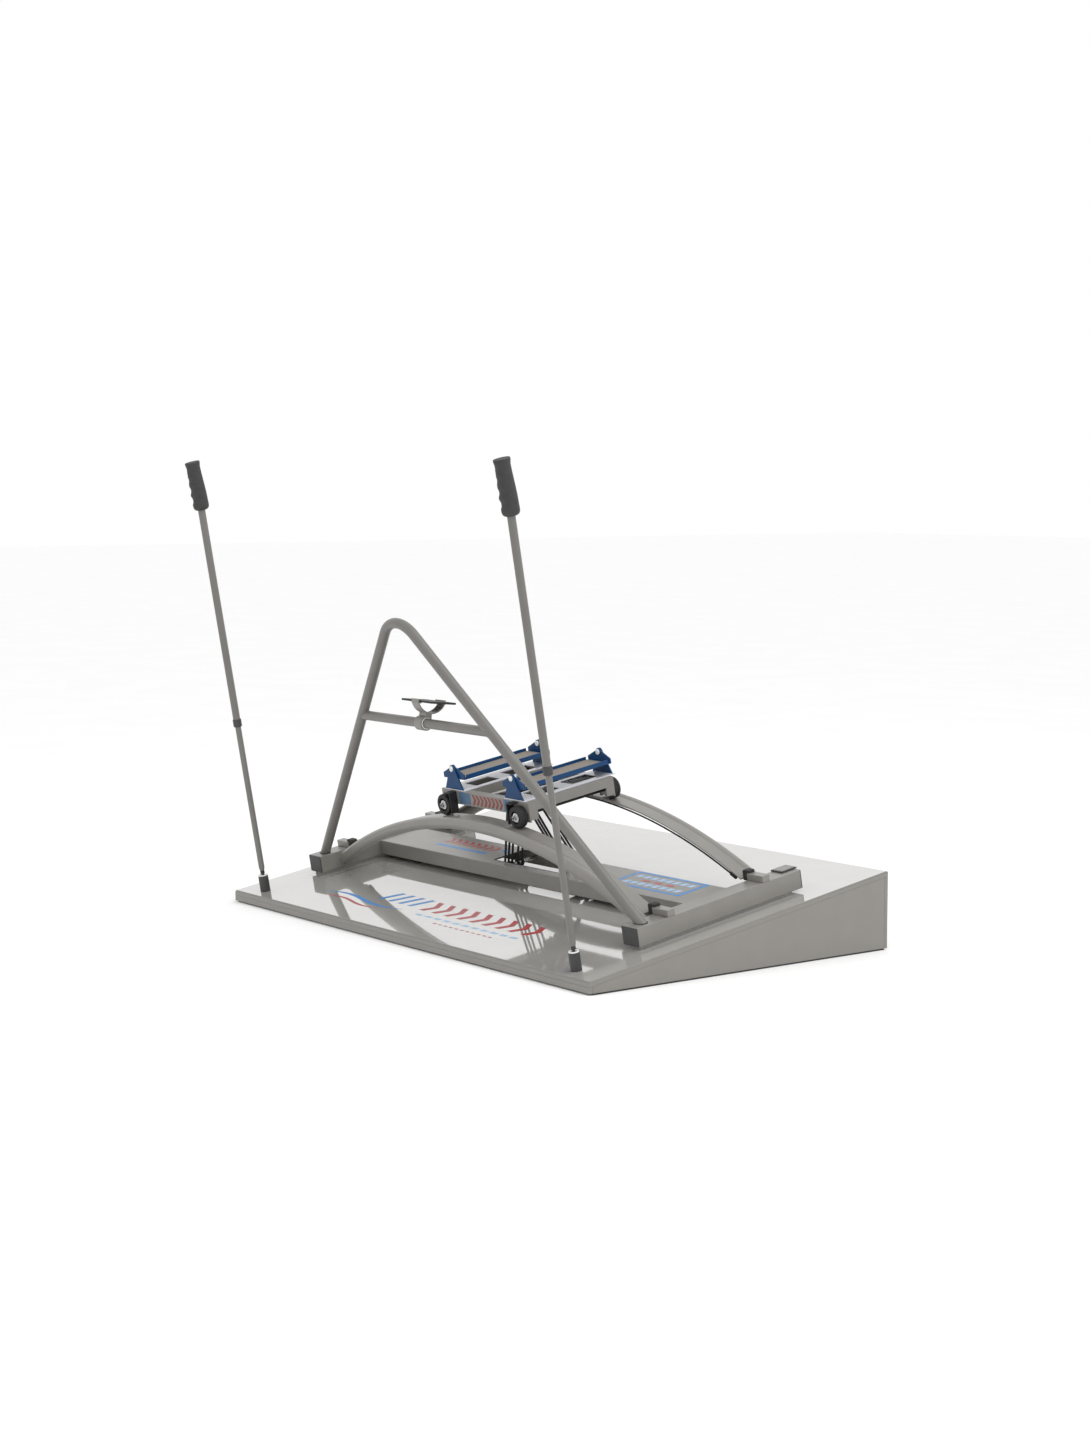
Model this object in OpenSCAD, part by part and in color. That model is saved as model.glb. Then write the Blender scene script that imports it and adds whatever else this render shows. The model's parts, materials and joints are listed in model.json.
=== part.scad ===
// Ski simulator: a sprung carriage with two tilting footplates rolls along a pair of arched
// tubes on a sloping platform, with an A-frame handrail and two standing poles in front.
// Millimetres, +Z up. The origin is on the floor at the middle of the platform.
// Deck coordinates: x to the right, y up the slope from the low front edge, h square to the deck.

/* [Platform] */
// Width of the platform across the slope
platform_w = 1800; // [1760:10:1860]
// Depth of the platform in plan
platform_d = 1060; // [1040:10:1120]
// Height of the deck at its low front edge
front_h = 36; // [32:1:50]
// Slope of the deck in degrees
slope = 10; // [8:0.5:12]
// Thickness of the glossy top sheet
sheet_t = 3; // [2:0.5:4]
// Thickness of the board under the sheet
board_t = 12; // [9:1:14]
// Thickness of the side boards
skirt_t = 12; // [9:1:18]
// Thickness of the rubber floor strips
foot_t = 4; // [3:0.5:6]
// Width of the inner joists
joist_w = 30; // [20:1:40]
// Distance of the outer joists from the middle
joist_x = 440; // [360:10:520]

/* [Rails] */
// Width of the box-section rails
rail_w = 65; // [58:1:72]
// Height of the rails
rail_h = 52.5; // [50:0.5:58]
// Length of the rails up the slope
rail_l = 586; // [570:2:640]
// Distance from the front edge of the deck to the rails
rail_y = 237; // [225:1:245]
// Distance from the side of the platform to the rails
rail_inset = 81; // [75:1:90]
// Wall of the rails
rail_wall = 3; // [2:0.5:4]
// Thickness of the rubber seat under the rails
seat_t = 9.5; // [6:0.5:12]
// Thickness of the end caps
cap_t = 3; // [2:0.5:5]
// Length of the pads on the rear ends
pad_l = 56; // [40:1:70]
// Width of the pads on the rear ends
pad_w = 46; // [36:1:56]
// Thickness of the pads on the rear ends
pad_t = 5; // [3:0.5:8]

/* [Arches] */
// Diameter of the arched tubes
arch_d = 36; // [32:1:40]
// Wall of the arched tubes
arch_wall = 2.5; // [2:0.5:4]
// Height of the crown above the deck, to the tube's centre line
crown_h = 227; // [220:1:235]
// Distance from the front edge of the deck to the front arch
arch_y = 322; // [316:1:326]
// Distance between the two arches
arch_gap = 411.5; // [404:0.5:418]
// Width of the running strips
strip_w = 34; // [32:1:38]
// Thickness of the running strips
strip_t = 4; // [3:0.5:5]
// Height of the running surface over the tube's centre line
strip_rise = 15; // [12:0.5:17]
// Diameter of the guide rod under each strip
guide_d = 5; // [4:0.5:7]
// Gap between a strip and its guide rod
guide_gap = 5; // [4:0.5:8]
// How far the guide rods end short of the strips, across the slope
guide_short = 22; // [10:2:160]

/* [Bump stops] */
// Length of a bump block up the slope
bump_l = 26; // [20:1:30]
// Height of a bump block
bump_h = 19; // [16:0.5:24]
// Thickness of a rubber buffer
buffer_t = 19; // [15:0.5:20]
// Length of a rubber buffer up the slope
buffer_l = 22; // [18:1:24]
// How far a buffer stands over its block
buffer_rise = 8; // [5:0.5:12]

/* [Band box] */
// Depth of the box up the slope
box_d = 157; // [150:1:160]
// Height of the box
box_h = 45; // [40:1:46]
// Height of the gap under the box
box_gap = 12; // [8:0.5:14]
// Sheet thickness of the box
box_wall = 3; // [2:0.5:4]
// Left end of the opening in the top
slot_x0 = -175; // [-190:1:-165]
// Right end of the opening in the top
slot_x1 = 152; // [150:1:165]
// Width of the opening in the top
slot_w = 115; // [110:1:125]
// Diameter of the rollers in the box
roller_d = 12; // [10:0.5:16]
// Diameter of an elastic band
band_d = 7; // [5:0.5:9]

/* [Handrail] */
// Diameter of the handrail tube
hand_d = 30; // [28:1:34]
// Wall of the handrail tube
hand_wall = 2; // [1.5:0.5:3]
// Height of the point where the legs would meet, above the deck
apex_h = 907; // [880:1:930]
// Distance of that point from the front edge of the deck
apex_y = 158; // [145:1:175]
// Bend radius of the handrail
hand_bend = 100; // [80:5:120]
// Distance from the front edge of the deck to the feet
hand_foot_y = 276; // [270:1:280]
// Height of the crossbar as a share of the legs
cross_share = 0.59; // [0.54:0.01:0.62]
// Diameter of the crossbar
cross_d = 28; // [25:1:30]
// Wall of the crossbar
cross_wall = 2; // [1.5:0.5:3]

/* [Bracket] */
// Middle of the bracket across the slope
bracket_x = -5; // [-40:1:40]
// Width of the clamp ring
clamp_w = 34; // [28:1:40]
// Wall of the clamp ring
clamp_wall = 7; // [5:0.5:9]
// Width of the yoke strap
strap_w = 34; // [28:1:40]
// Thickness of the yoke strap
strap_t = 4; // [3:0.5:5]
// Reach of the yoke between the outsides of its tips, fore and aft
yoke_l = 95; // [85:1:105]
// Height of the yoke
yoke_h = 32; // [28:1:38]
// Distance of the yoke's middle behind the crossbar
yoke_back = 13; // [6:1:14]
// Width of the holder plate
plate_w = 150; // [110:1:180]
// Thickness of the holder plate
plate_t = 6; // [4:0.5:8]
// Tilt of the bracket against the deck in degrees
plate_tilt = 15.5; // [10:0.5:20]

/* [Carriage] */
// Half width of the carriage
car_half = 215; // [210:1:225]
// Top of the carriage frame above the deck
car_top_h = 306; // [303:1:312]
// Height of the frame members
car_depth = 28; // [26:1:34]
// Sheet thickness of the frame members
car_t = 4; // [3:0.5:5]
// Width of the flanges
flange_w = 20; // [15:1:26]
// Thickness of the flanges
flange_t = 3; // [2:0.5:4]
// Height of the drop legs that carry the axles
leg_h = 59; // [56:0.5:62]
// Width of the drop legs across the slope
leg_w = 65; // [60:1:70]
// Distance from the middle to the wheels
wheel_x = 180; // [174:1:184]
// Diameter of the wheels
wheel_d = 64; // [60:1:66]
// Width of the wheels
wheel_w = 24; // [20:1:26]
// Diameter of the axles
axle_d = 8; // [6:0.5:10]
// Thickness of the top plates under the footplates
top_t = 3; // [2:0.5:4]

/* [Footplates] */
// Distance from the middle to the footplates
foot_x = 148; // [144:1:150]
// Width of a footplate
foot_w = 105; // [98:1:110]
// Height of the footplate pivots over the carriage frame
pivot_rise = 65; // [63:1:70]
// Depth of the footplate's floor under its pivots
foot_drop = 31; // [29:0.5:33]
// Height of the side flanges over the floor
foot_lip = 14; // [10:0.5:16]
// Sheet thickness of a footplate
foot_sheet = 3; // [2:0.5:4]
// Thickness of the end plates and uprights
end_t = 4; // [3:0.5:5]
// Thickness of the tread
tread_t = 2.5; // [2:0.5:5]
// Diameter of the pivot pins
pin_d = 10; // [8:0.5:12]
// Half width of the uprights at the foot
upright_half = 45; // [40:1:48]

/* [Poles] */
// Distance from the front edge of the deck to the poles
pole_y = 45; // [42:1:60]
// Distance from the side of the platform to the poles
pole_inset = 111; // [100:1:130]
// Full height of a pole above the deck
pole_h = 1343.5; // [1300:0.5:1400]
// Height of the middle of the locking collar
collar_at = 537; // [500:1:600]
// Diameter of the lower tube
low_d = 18; // [16:0.5:19]
// Diameter of the upper tube
up_d = 22; // [21:0.5:24]
// Diameter of the base holder
holder_d = 31; // [30:0.5:36]
// Height of the base holder
holder_h = 50; // [48:1:54]
// Length of the grip
grip_l = 147; // [135:1:160]
// Largest diameter of the grip's body
grip_d = 48; // [46:0.5:52]

/* [Hidden] */

// Fineness of small rounds, large rounds and the long arcs
fine = 48;
finer = 96;
arc_fine = 360;

// Clearance between pieces that are fixed to each other, and of running fits
seat_gap = 0.05;
run_gap = 0.04;
// Clearance between pieces that pass each other
pass_gap = 0.3;
// Overlap used only inside one piece, so that its parts join
bite = 0.5;

// Paint colours
grey_paint = "#8a8883";
light_paint = "#dedddb";
dark_part = "#383838";
black_rubber = "#1c1c1c";
blue_paint = "#1d4577";

// Heights under the deck
under_sheet = sheet_t;
under_board = sheet_t + board_t;
edge_bevel = 2;
skirt_joint = 0.3;

// Rails
rail_out = platform_w / 2 - rail_inset;
rail_in = rail_out - rail_w;
rail_top = seat_t + rail_h;
rail_end = rail_y + rail_l;
seat_inset = 6;
seat_l = rail_l - 41;
cap_tongue = 12;
cap_edge = 1;
pad_over = 8;
pad_side = 2;

// Arches: the tubes end half way up the rails' inner faces
arch_end_h = seat_t + rail_h / 2;
arch_sag = crown_h - arch_end_h;
arch_r = (rail_in * rail_in + arch_sag * arch_sag) / (2 * arch_sag);
arch_axis_h = crown_h - arch_r;
arch_span = asin(rail_in / arch_r) + 2;
mid_y = arch_y + arch_gap / 2;
strip_top_r = arch_r + strip_rise;
strip_in = arch_d / 2 + strip_w;
strip_half = rail_in - buffer_t - 3;
strip_span = asin(strip_half / strip_top_r);
guide_r = strip_top_r - strip_t - guide_gap - guide_d / 2;
guide_span = asin((strip_half - guide_short) / guide_r);
guide_block = 24;
guide_inset = 1;

// Bump stops
bump_y = arch_y + arch_d / 2 + (strip_w - bump_l) / 2;
buffer_y = bump_y + (bump_l - buffer_l) / 2;
buffer_lip = 8;
buffer_lip_t = 5;
buffer_low = rail_top - 2.8;

// Band box
box_y = mid_y - box_d / 2 + 12;
box_top = box_gap + box_h;
slot_y = box_y + 30;
roller_h = 38;
roller_left_x = -130;
roller_right_x = 150;
bar_d = 10;
bar_left_x = -60;
bar_right_x = 8;
bar_h = 268;
// Places of the band ends up the slope: top and bottom of each band
left_bands = [[498, 497], [511, 510], [524, 524], [549, 544], [566, 560]];
right_bands = [[498, 524], [508, 533], [518, 542], [540, 578], [552, 588]];

// Handrail, in the plane of its legs: w runs up from the rail tops
hand_foot_x = (rail_in + rail_out) / 2;
hand_rise = apex_h - rail_top;
hand_run = hand_foot_y - apex_y;
hand_len = sqrt(hand_rise * hand_rise + hand_run * hand_run);
hand_lean = atan(hand_run / hand_rise);
leg_angle = atan(hand_len / hand_foot_x);
bend_w = hand_len - hand_bend / cos(leg_angle);
cross_w = cross_share * hand_len;
cross_half = hand_foot_x * (1 - cross_share);
leg_full = sqrt(hand_foot_x * hand_foot_x + hand_len * hand_len);
leg_straight = leg_full - hand_bend * tan(leg_angle);
leg_extra = 60;
sleeve = 0.02;
cross_y = hand_foot_y - cross_share * hand_run;
cross_h = rail_top + cross_share * hand_rise;

// Bracket, seen from the crossbar's centre line
clamp_r = cross_d / 2 + clamp_wall;
yoke_base = clamp_r + 6;
yoke_r = (yoke_l * yoke_l / 4 + yoke_h * yoke_h) / (2 * yoke_h);
yoke_axis = yoke_base + yoke_r;
yoke_top = yoke_base + yoke_h;
neck_front = 5;
neck_back = 16;
lip_t = 3;
lip_l = 10;
ledge_l = 8;
lip_gap = 0.2;
seam_w = 1.2;
bolt_d = 6;
bolt_head = 10;
bolt_y = clamp_r + 4;
lug_l = 12;
lug_h = 12;

// Carriage
beam_y = arch_y + arch_d / 2 + strip_w / 2 + wheel_w / 2 + 3;
car_bottom = car_top_h - car_depth;
wheel_r = wheel_d / 2;
wheel_path = strip_top_r + wheel_r + pass_gap;
wheel_h = arch_axis_h + sqrt(wheel_path * wheel_path - wheel_x * wheel_x);
wheel_y = arch_y + arch_d / 2 + strip_w / 2;
axle_r = axle_d / 2;
tyre_in = wheel_r * 0.66;
hub_rim = 2;
hub_web = 8;
hub_plate_r = 13.5;
hub_boss_r = 6.8;
hub_studs = 5;
hub_stud_r = 2.5;
hub_stud_at = 10;
hub_proud = 1.2;
hub_holes = 6;
hub_hole_r = 2.4;
hub_hole_at = (tyre_in - hub_rim + hub_plate_r) / 2;
nut_t = 5.5;
nut_flats = 13;
axle_front = wheel_y - wheel_w / 2 - 8;
inner_x = 96;
leg_side_l = 26;
bracket_t = 4;
bracket_short = 14;
cheek_drop = 24;
front_beam_drop = 13;
window_x0 = 115;
window_x1 = 178;
windows = [[430, 516], [562, 658]];
top_x0 = 99;
top_x1 = 200;

// Footplates
pivot_h = car_top_h + pivot_rise;
plate_base = car_top_h + top_t;
end_gap = 1;
upright_rear_y = 697;
foot_y0 = beam_y + end_t + end_gap;
foot_y1 = upright_rear_y - end_gap;
top_y1 = upright_rear_y + end_t + 2;
lip_front = 5;
lip_rear = 9;
boss_r = 11;
ear_h = 15;
head_r = 8.5;
head_t = 4;
dome_r = 15.2;
dome_back = 10.2;
pin_play = 0.5;

// Poles
pole_x = platform_w / 2 - pole_inset;
ball_r = 10;
ball_h = 38;
ball_slot = 6.1;
tongue_t = 6;
tongue_r = 7;
cross_pin_r = 2.5;
neck_r = 4;
ring_seat_h = ball_h + 3.2;
ring_r = holder_d / 2 - 3;
ring_flange_r = holder_d / 2 - 1;
ring_top = holder_h + 3;
mouth_low_r = 6.7;
mouth_low_h = 7.4;
mouth_top_r = 9.4;
tip_start = ball_h + 18.5;
tip_shoulder = 67;
tip_spigot = 12;
tip_r = 6.8;
swage_l = 8;
swage_wall = 1.6;
low_wall = 1.5;
low_top = collar_at + 205;
collar_r = up_d / 2 + 2;
collar_half = 12;
collar_floor = 3;
grip_base = pole_h - grip_l;
grip_bore = 126;
groove_r = 23;
groove_depth = 4;
groove_shift = 3;
groove_pitch = 31;
groove_first = 32;
groove_count = 4;
grip_neck_r = 20.6;
grip_lip_r = 22.4;
grip_lean = 2.5;
grip_back = 1.5;
grip_slant = 3;

// Deck coordinates to floor coordinates
module on_deck() {
    translate([0, -platform_d / 2, front_h]) rotate([slope, 0, 0]) children();
}

module slab(x0, x1, y0, y1, z0, z1) {
    translate([x0, y0, z0]) cube([x1 - x0, y1 - y0, z1 - z0]);
}

module left_and_right() {
    children();
    mirror([1, 0, 0]) children();
}

// A copy of the front half, turned over at the middle between the arches
module front_and_rear() {
    children();
    translate([0, 2 * mid_y, 0]) mirror([0, 1, 0]) children();
}

// A round bar up the slope
module rod_y(x, h, r, y0, y1) {
    translate([x, y1, h]) rotate([90, 0, 0]) cylinder(h = y1 - y0, r = r, $fn = fine);
}

// A round bar between two points
module rod(p, q, r) {
    d = q - p;
    n = norm(d);
    translate(p) rotate([0, acos(d[2] / n), atan2(d[1], d[0])]) cylinder(h = n, r = r, $fn = fine);
}

// Sweeps a section round the arches' axis: section x is the radius, section y runs down the slope
module around_arch(y, span) {
    translate([0, y, arch_axis_h]) rotate([90, 0, 0]) rotate([0, 0, 90 - span])
        rotate_extrude(angle = 2 * span, $fn = arc_fine) children();
}

// Height of the deck's own planes over the floor, at a depth under the deck
function plane_z(y, depth) = front_h + (y + platform_d / 2) * tan(slope) - depth / cos(slope);

// A slice of the wedge under the deck, between two depths or down to a floor height
module wedge_slice(x0, x1, y0, y1, top_depth, floor_z) {
    translate([x1, 0, 0]) rotate([0, -90, 0]) linear_extrude(x1 - x0)
        polygon([[floor_z, y0], [plane_z(y0, top_depth), y0], [plane_z(y1, top_depth), y1],
            [floor_z, y1]]);
}

module deck_sheet() {
    deck_len = platform_d / cos(slope);
    half = platform_w / 2;
    color(light_paint) on_deck() intersection() {
        translate([0, deck_len - 1, 0]) rotate([90, 0, 0]) linear_extrude(deck_len - 2)
            polygon([[-half + 1, -sheet_t], [-half + 1, -edge_bevel], [-half + 1 + edge_bevel, 0],
                [half - 1 - edge_bevel, 0], [half - 1, -edge_bevel], [half - 1, -sheet_t]]);
        translate([half, 0, 0]) rotate([0, -90, 0]) linear_extrude(platform_w)
            polygon([[-sheet_t, 1], [-edge_bevel, 1], [0, 1 + edge_bevel],
                [0, deck_len - 1 - edge_bevel], [-edge_bevel, deck_len - 1],
                [-sheet_t, deck_len - 1]]);
    }
}

module deck_board() {
    half_w = platform_w / 2;
    half_d = platform_d / 2;
    color(grey_paint) translate([half_w, 0, 0]) rotate([0, -90, 0]) linear_extrude(platform_w)
        polygon([[plane_z(-half_d, under_board), -half_d], [plane_z(-half_d, under_sheet), -half_d],
            [plane_z(half_d, under_sheet), half_d], [plane_z(half_d, under_board), half_d]]);
}

module skirts() {
    half_w = platform_w / 2;
    half_d = platform_d / 2;
    inner_d = half_d - skirt_t;
    color(grey_paint) {
        wedge_slice(-half_w, half_w, -half_d, -inner_d, under_board, foot_t);
        wedge_slice(-half_w, half_w, inner_d, half_d, under_board, foot_t);
        left_and_right() wedge_slice(half_w - skirt_t, half_w, -inner_d + skirt_joint,
            inner_d - skirt_joint, under_board, foot_t);
    }
}

module joists() {
    inner_d = platform_d / 2 - skirt_t - skirt_joint;
    color("#b09a78") for (x = [-joist_x, 0, joist_x])
        wedge_slice(x - joist_w / 2, x + joist_w / 2, -inner_d, inner_d, under_board, foot_t);
}

module floor_strips() {
    inner_d = platform_d / 2 - skirt_t;
    outer_x = platform_w / 2 - joist_w / 2;
    color(black_rubber) for (x = [-outer_x, -joist_x, 0, joist_x, outer_x])
        slab(x - joist_w / 2, x + joist_w / 2, -inner_d, inner_d, 0, foot_t);
}

module rails() {
    color(grey_paint) on_deck() left_and_right() difference() {
        slab(rail_in, rail_out, rail_y, rail_end, seat_t, rail_top);
        slab(rail_in + rail_wall, rail_out - rail_wall, rail_y - 1, rail_end + 1,
            seat_t + rail_wall, rail_top - rail_wall);
    }
}

module rail_seats() {
    color("#8f8e8b") on_deck() left_and_right()
        slab(rail_in + seat_inset, rail_out - seat_inset, rail_y + 8, rail_y + 8 + seat_l, 0, seat_t);
}

module rail_cap() {
    gap = rail_wall + seat_gap;
    slab(rail_in + cap_edge / 2, rail_out - cap_edge / 2, rail_y - cap_t, rail_y,
        seat_t + cap_edge / 2, rail_top - cap_edge / 2);
    slab(rail_in + gap, rail_out - gap, rail_y - bite, rail_y + cap_tongue, seat_t + gap,
        rail_top - gap);
}

module rail_caps() {
    middle = rail_y + rail_l / 2;
    color(dark_part) on_deck() left_and_right() {
        rail_cap();
        translate([0, 2 * middle, 0]) mirror([0, 1, 0]) rail_cap();
    }
}

module rail_pads() {
    color("#a5a39f") on_deck() left_and_right()
        slab(rail_in - pad_side, rail_in - pad_side + pad_w, rail_end + pad_over - pad_l,
            rail_end + pad_over, rail_top, rail_top + pad_t);
}

// The front arch; its ends are cut square at the rails
module arch_tube() {
    intersection() {
        around_arch(arch_y, arch_span) translate([arch_r, 0]) difference() {
            circle(d = arch_d, $fn = fine);
            circle(d = arch_d - 2 * arch_wall, $fn = fine);
        }
        slab(-rail_in, rail_in, arch_y - arch_d, arch_y + arch_d, -arch_d, crown_h + arch_d);
    }
}

module arch_front() {
    color(grey_paint) on_deck() arch_tube();
}

module arch_rear() {
    color(grey_paint) on_deck() translate([0, 2 * mid_y, 0]) mirror([0, 1, 0]) arch_tube();
}

module track_strip() {
    around_arch(arch_y, strip_span) difference() {
        translate([strip_top_r - strip_t, -strip_in]) square([strip_t, strip_in - arch_d / 5]);
        translate([arch_r, 0]) circle(r = arch_d / 2 + seat_gap, $fn = fine);
    }
}

module track_strips() {
    color(grey_paint) on_deck() front_and_rear() track_strip();
}

module guide_rod() {
    block_span = asin(guide_block / guide_r);
    half = guide_d / 2 + guide_inset;
    mid = -strip_in + half;
    around_arch(arch_y, guide_span) translate([guide_r, mid]) circle(d = guide_d, $fn = fine);
    for (side = [-1, 1]) translate([0, 0, arch_axis_h]) rotate([0, side * (guide_span
        - block_span / 2), 0]) translate([0, 0, -arch_axis_h])
            around_arch(arch_y, block_span / 2) translate([guide_r - half, mid - half])
                square([strip_top_r - strip_t - seat_gap - guide_r + half, 2 * half]);
}

module guide_rods() {
    color(dark_part) on_deck() front_and_rear() guide_rod();
}

module bump_blocks() {
    color(grey_paint) on_deck() front_and_rear() left_and_right()
        slab(rail_in, rail_out, bump_y, bump_y + bump_l, rail_top, rail_top + bump_h);
}

module buffers() {
    top = rail_top + bump_h + buffer_rise;
    round = 5;
    color(black_rubber) on_deck() front_and_rear() left_and_right() {
        slab(rail_in - buffer_t, rail_in, buffer_y, buffer_y + buffer_l, buffer_low, top - round);
        slab(rail_in - buffer_t + round, rail_in + buffer_lip, buffer_y, buffer_y + buffer_l,
            rail_top + bump_h, top);
        rod_y(rail_in - buffer_t + round, top - round, round, buffer_y, buffer_y + buffer_l);
    }
}

module band_box() {
    gap_x = 0.2;
    color(grey_paint) on_deck() difference() {
        slab(-rail_in + gap_x, rail_in - gap_x, box_y, box_y + box_d, box_gap, box_top);
        slab(-rail_in - 1, rail_in + 1, box_y + box_wall, box_y + box_d - box_wall, box_gap - 1,
            box_top - box_wall);
        slab(slot_x0, slot_x1, slot_y, slot_y + slot_w, box_top - box_wall - 1, box_top + 1);
    }
}

module band_rollers() {
    y0 = box_y + box_wall;
    color("#4a4a4a") on_deck() for (x = [roller_left_x, roller_right_x])
        rod_y(x, roller_h, roller_d / 2, y0, y0 + box_d - 2 * box_wall);
}

// Straight elastic bands from the carriage's bars to the rollers in the box
module bands() {
    color(black_rubber) on_deck() difference() {
        union() {
            for (b = left_bands)
                rod([roller_left_x, b[1], roller_h], [bar_left_x, b[0], bar_h], band_d / 2);
            for (b = right_bands)
                rod([roller_right_x, b[1], roller_h], [bar_right_x, b[0], bar_h], band_d / 2);
        }
        for (x = [bar_left_x, bar_right_x])
            rod_y(x, bar_h, bar_d / 2 + pass_gap, box_y, box_y + box_d);
        for (x = [roller_left_x, roller_right_x])
            rod_y(x, roller_h, roller_d / 2 + pass_gap, box_y, box_y + box_d);
    }
}

// The plane of the handrail: x across, z up along the lean
module in_hand_plane() {
    translate([0, hand_foot_y, rail_top]) rotate([hand_lean, 0, 0]) children();
}

// A straight leg, whose upper end sits in the wall of the bend
module hand_leg() {
    translate([hand_foot_x, 0, 0]) rotate([0, leg_angle - 90, 0])
        tube(-leg_extra, leg_straight + bite, hand_d / 2, hand_wall);
}

// The bend over the crown, with a wall that is a hair thicker than the legs'
module hand_crown() {
    translate([0, 0, bend_w]) rotate([90, 0, 0]) rotate([0, 0, 90 - leg_angle])
        rotate_extrude(angle = 2 * leg_angle, $fn = 180) translate([hand_bend, 0]) difference() {
            circle(r = hand_d / 2 + sleeve, $fn = fine);
            circle(r = hand_d / 2 - hand_wall - sleeve, $fn = fine);
        }
}

module handrail() {
    below = hand_d * 4;
    color(grey_paint) on_deck() difference() {
        in_hand_plane() {
            left_and_right() hand_leg();
            hand_crown();
        }
        slab(-rail_out * 2, rail_out * 2, hand_foot_y - below, hand_foot_y + below,
            rail_top - below, rail_top);
    }
}

module crossbar() {
    color(grey_paint) on_deck() in_hand_plane() difference() {
        translate([-cross_half, 0, cross_w]) rotate([0, 90, 0])
            cylinder(h = 2 * cross_half, d = cross_d, $fn = fine);
        translate([-cross_half - 1, 0, cross_w]) rotate([0, 90, 0])
            cylinder(h = 2 * cross_half + 2, d = cross_d - 2 * cross_wall, $fn = fine);
        left_and_right() translate([hand_foot_x, 0, 0]) rotate([0, leg_angle - 90, 0])
            cylinder(h = leg_straight, r = hand_d / 2 + seat_gap, $fn = fine);
    }
}

// Bracket coordinates: origin on the crossbar's centre line, tilted down towards the rear
module at_crossbar() {
    on_deck() translate([bracket_x, cross_y, cross_h]) rotate([-plate_tilt, 0, 0]) children();
}

module bar_x(r, w) {
    translate([-w / 2, 0, 0]) rotate([0, 90, 0]) cylinder(h = w, r = r, $fn = finer);
}

module bracket_clamp() {
    color(grey_paint) at_crossbar() difference() {
        union() {
            bar_x(clamp_r, clamp_w);
            slab(-clamp_w / 2, clamp_w / 2, clamp_r - 4, clamp_r + lug_l, -lug_h / 2, lug_h / 2);
        }
        bar_x(cross_d / 2 + run_gap, clamp_w + 2);
        slab(-clamp_w, clamp_w, 0, clamp_r + lug_l + 1, -seam_w / 2, seam_w / 2);
        translate([0, bolt_y + 2, -lug_h]) cylinder(h = 2 * lug_h, d = bolt_d + 0.2, $fn = fine);
    }
}

module clamp_bolt() {
    color("#c9c9c9") at_crossbar() translate([0, bolt_y + 2, 0]) {
        translate([0, 0, -lug_h / 2 - 5]) cylinder(h = lug_h + 5 + bite, d = bolt_d, $fn = fine);
        translate([0, 0, lug_h / 2 + 0.1]) cylinder(h = 5, d = bolt_head, $fn = fine);
        translate([0, 0, -lug_h / 2 - 5]) cylinder(h = 4.9, d = bolt_head + 1.5, $fn = 6);
    }
}

// The yoke's circle, with its axis across the slope
module in_yoke() {
    translate([0, yoke_back, yoke_axis]) rotate([0, 90, 0]) children();
}

// Front tip of the yoke: it holds the plate's edge between a ledge and a lip
module yoke_tip() {
    half = strap_w / 2;
    front = -yoke_l / 2;
    top = yoke_top + plate_t + 2 * lip_gap;
    slab(-half, half, front, front + strap_t, yoke_top - lip_t, top + lip_t);
    slab(-half, half, front, front + strap_t + lip_l, top, top + lip_t);
    slab(-half, half, front, front + strap_t + ledge_l, yoke_top - lip_t, yoke_top);
}

// A U-shaped strap that stands fore and aft, on a neck over the clamp
module bracket_yoke() {
    half = strap_w / 2;
    color(grey_paint) at_crossbar() {
        difference() {
            slab(-half, half, -neck_front, neck_back, 0, yoke_base + strap_t);
            bar_x(clamp_r + seat_gap, strap_w + 2);
            in_yoke() cylinder(h = strap_w + 2, r = yoke_r - bite, center = true, $fn = finer);
        }
        difference() {
            in_yoke() difference() {
                cylinder(h = strap_w, r = yoke_r, center = true, $fn = finer);
                cylinder(h = strap_w + 2, r = yoke_r - strap_t, center = true, $fn = finer);
            }
            slab(-strap_w, strap_w, -2 * yoke_r, 2 * yoke_r + yoke_back, yoke_top,
                yoke_top + 2 * yoke_r);
        }
        translate([0, yoke_back, 0]) for (rear = [0, 1]) mirror([0, rear, 0]) yoke_tip();
    }
}

module bracket_plate() {
    half_d = yoke_l / 2 - strap_t - lip_gap;
    color(dark_part) at_crossbar() slab(-plate_w / 2, plate_w / 2, yoke_back - half_d,
        yoke_back + half_d, yoke_top + lip_gap, yoke_top + lip_gap + plate_t);
}

// Front cross member: web, flanges and two drop legs with the axle bores
module front_beam() {
    y1 = beam_y + car_t;
    color(grey_paint) difference() {
        union() {
            slab(-car_half, car_half, beam_y, y1, car_bottom - front_beam_drop, car_top_h);
            left_and_right()
                slab(car_half - leg_w, car_half, beam_y, y1, car_top_h - leg_h, car_top_h);
            slab(-car_half + car_t + 0.1, car_half - car_t - 0.1, y1 - bite, y1 + flange_w,
                car_top_h - flange_t, car_top_h);
        }
        left_and_right()
            rod_y(wheel_x, wheel_h, axle_r + seat_gap, beam_y - 1, beam_y + car_t + 1);
    }
}

module carriage_beams() {
    on_deck() front_and_rear() front_beam();
}

module channel(x0, out, y0, y1, flange) {
    slab(x0, x0 + car_t, y0, y1, car_bottom, car_top_h);
    a = out > 0 ? x0 - flange : x0 + car_t - bite;
    b = out > 0 ? x0 + bite : x0 + car_t + flange;
    for (z = [car_bottom, car_top_h - flange_t])
        slab(a, b, y0 + flange_w + 0.2, y1 - flange_w - 0.2, z, z + flange_t);
}

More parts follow.
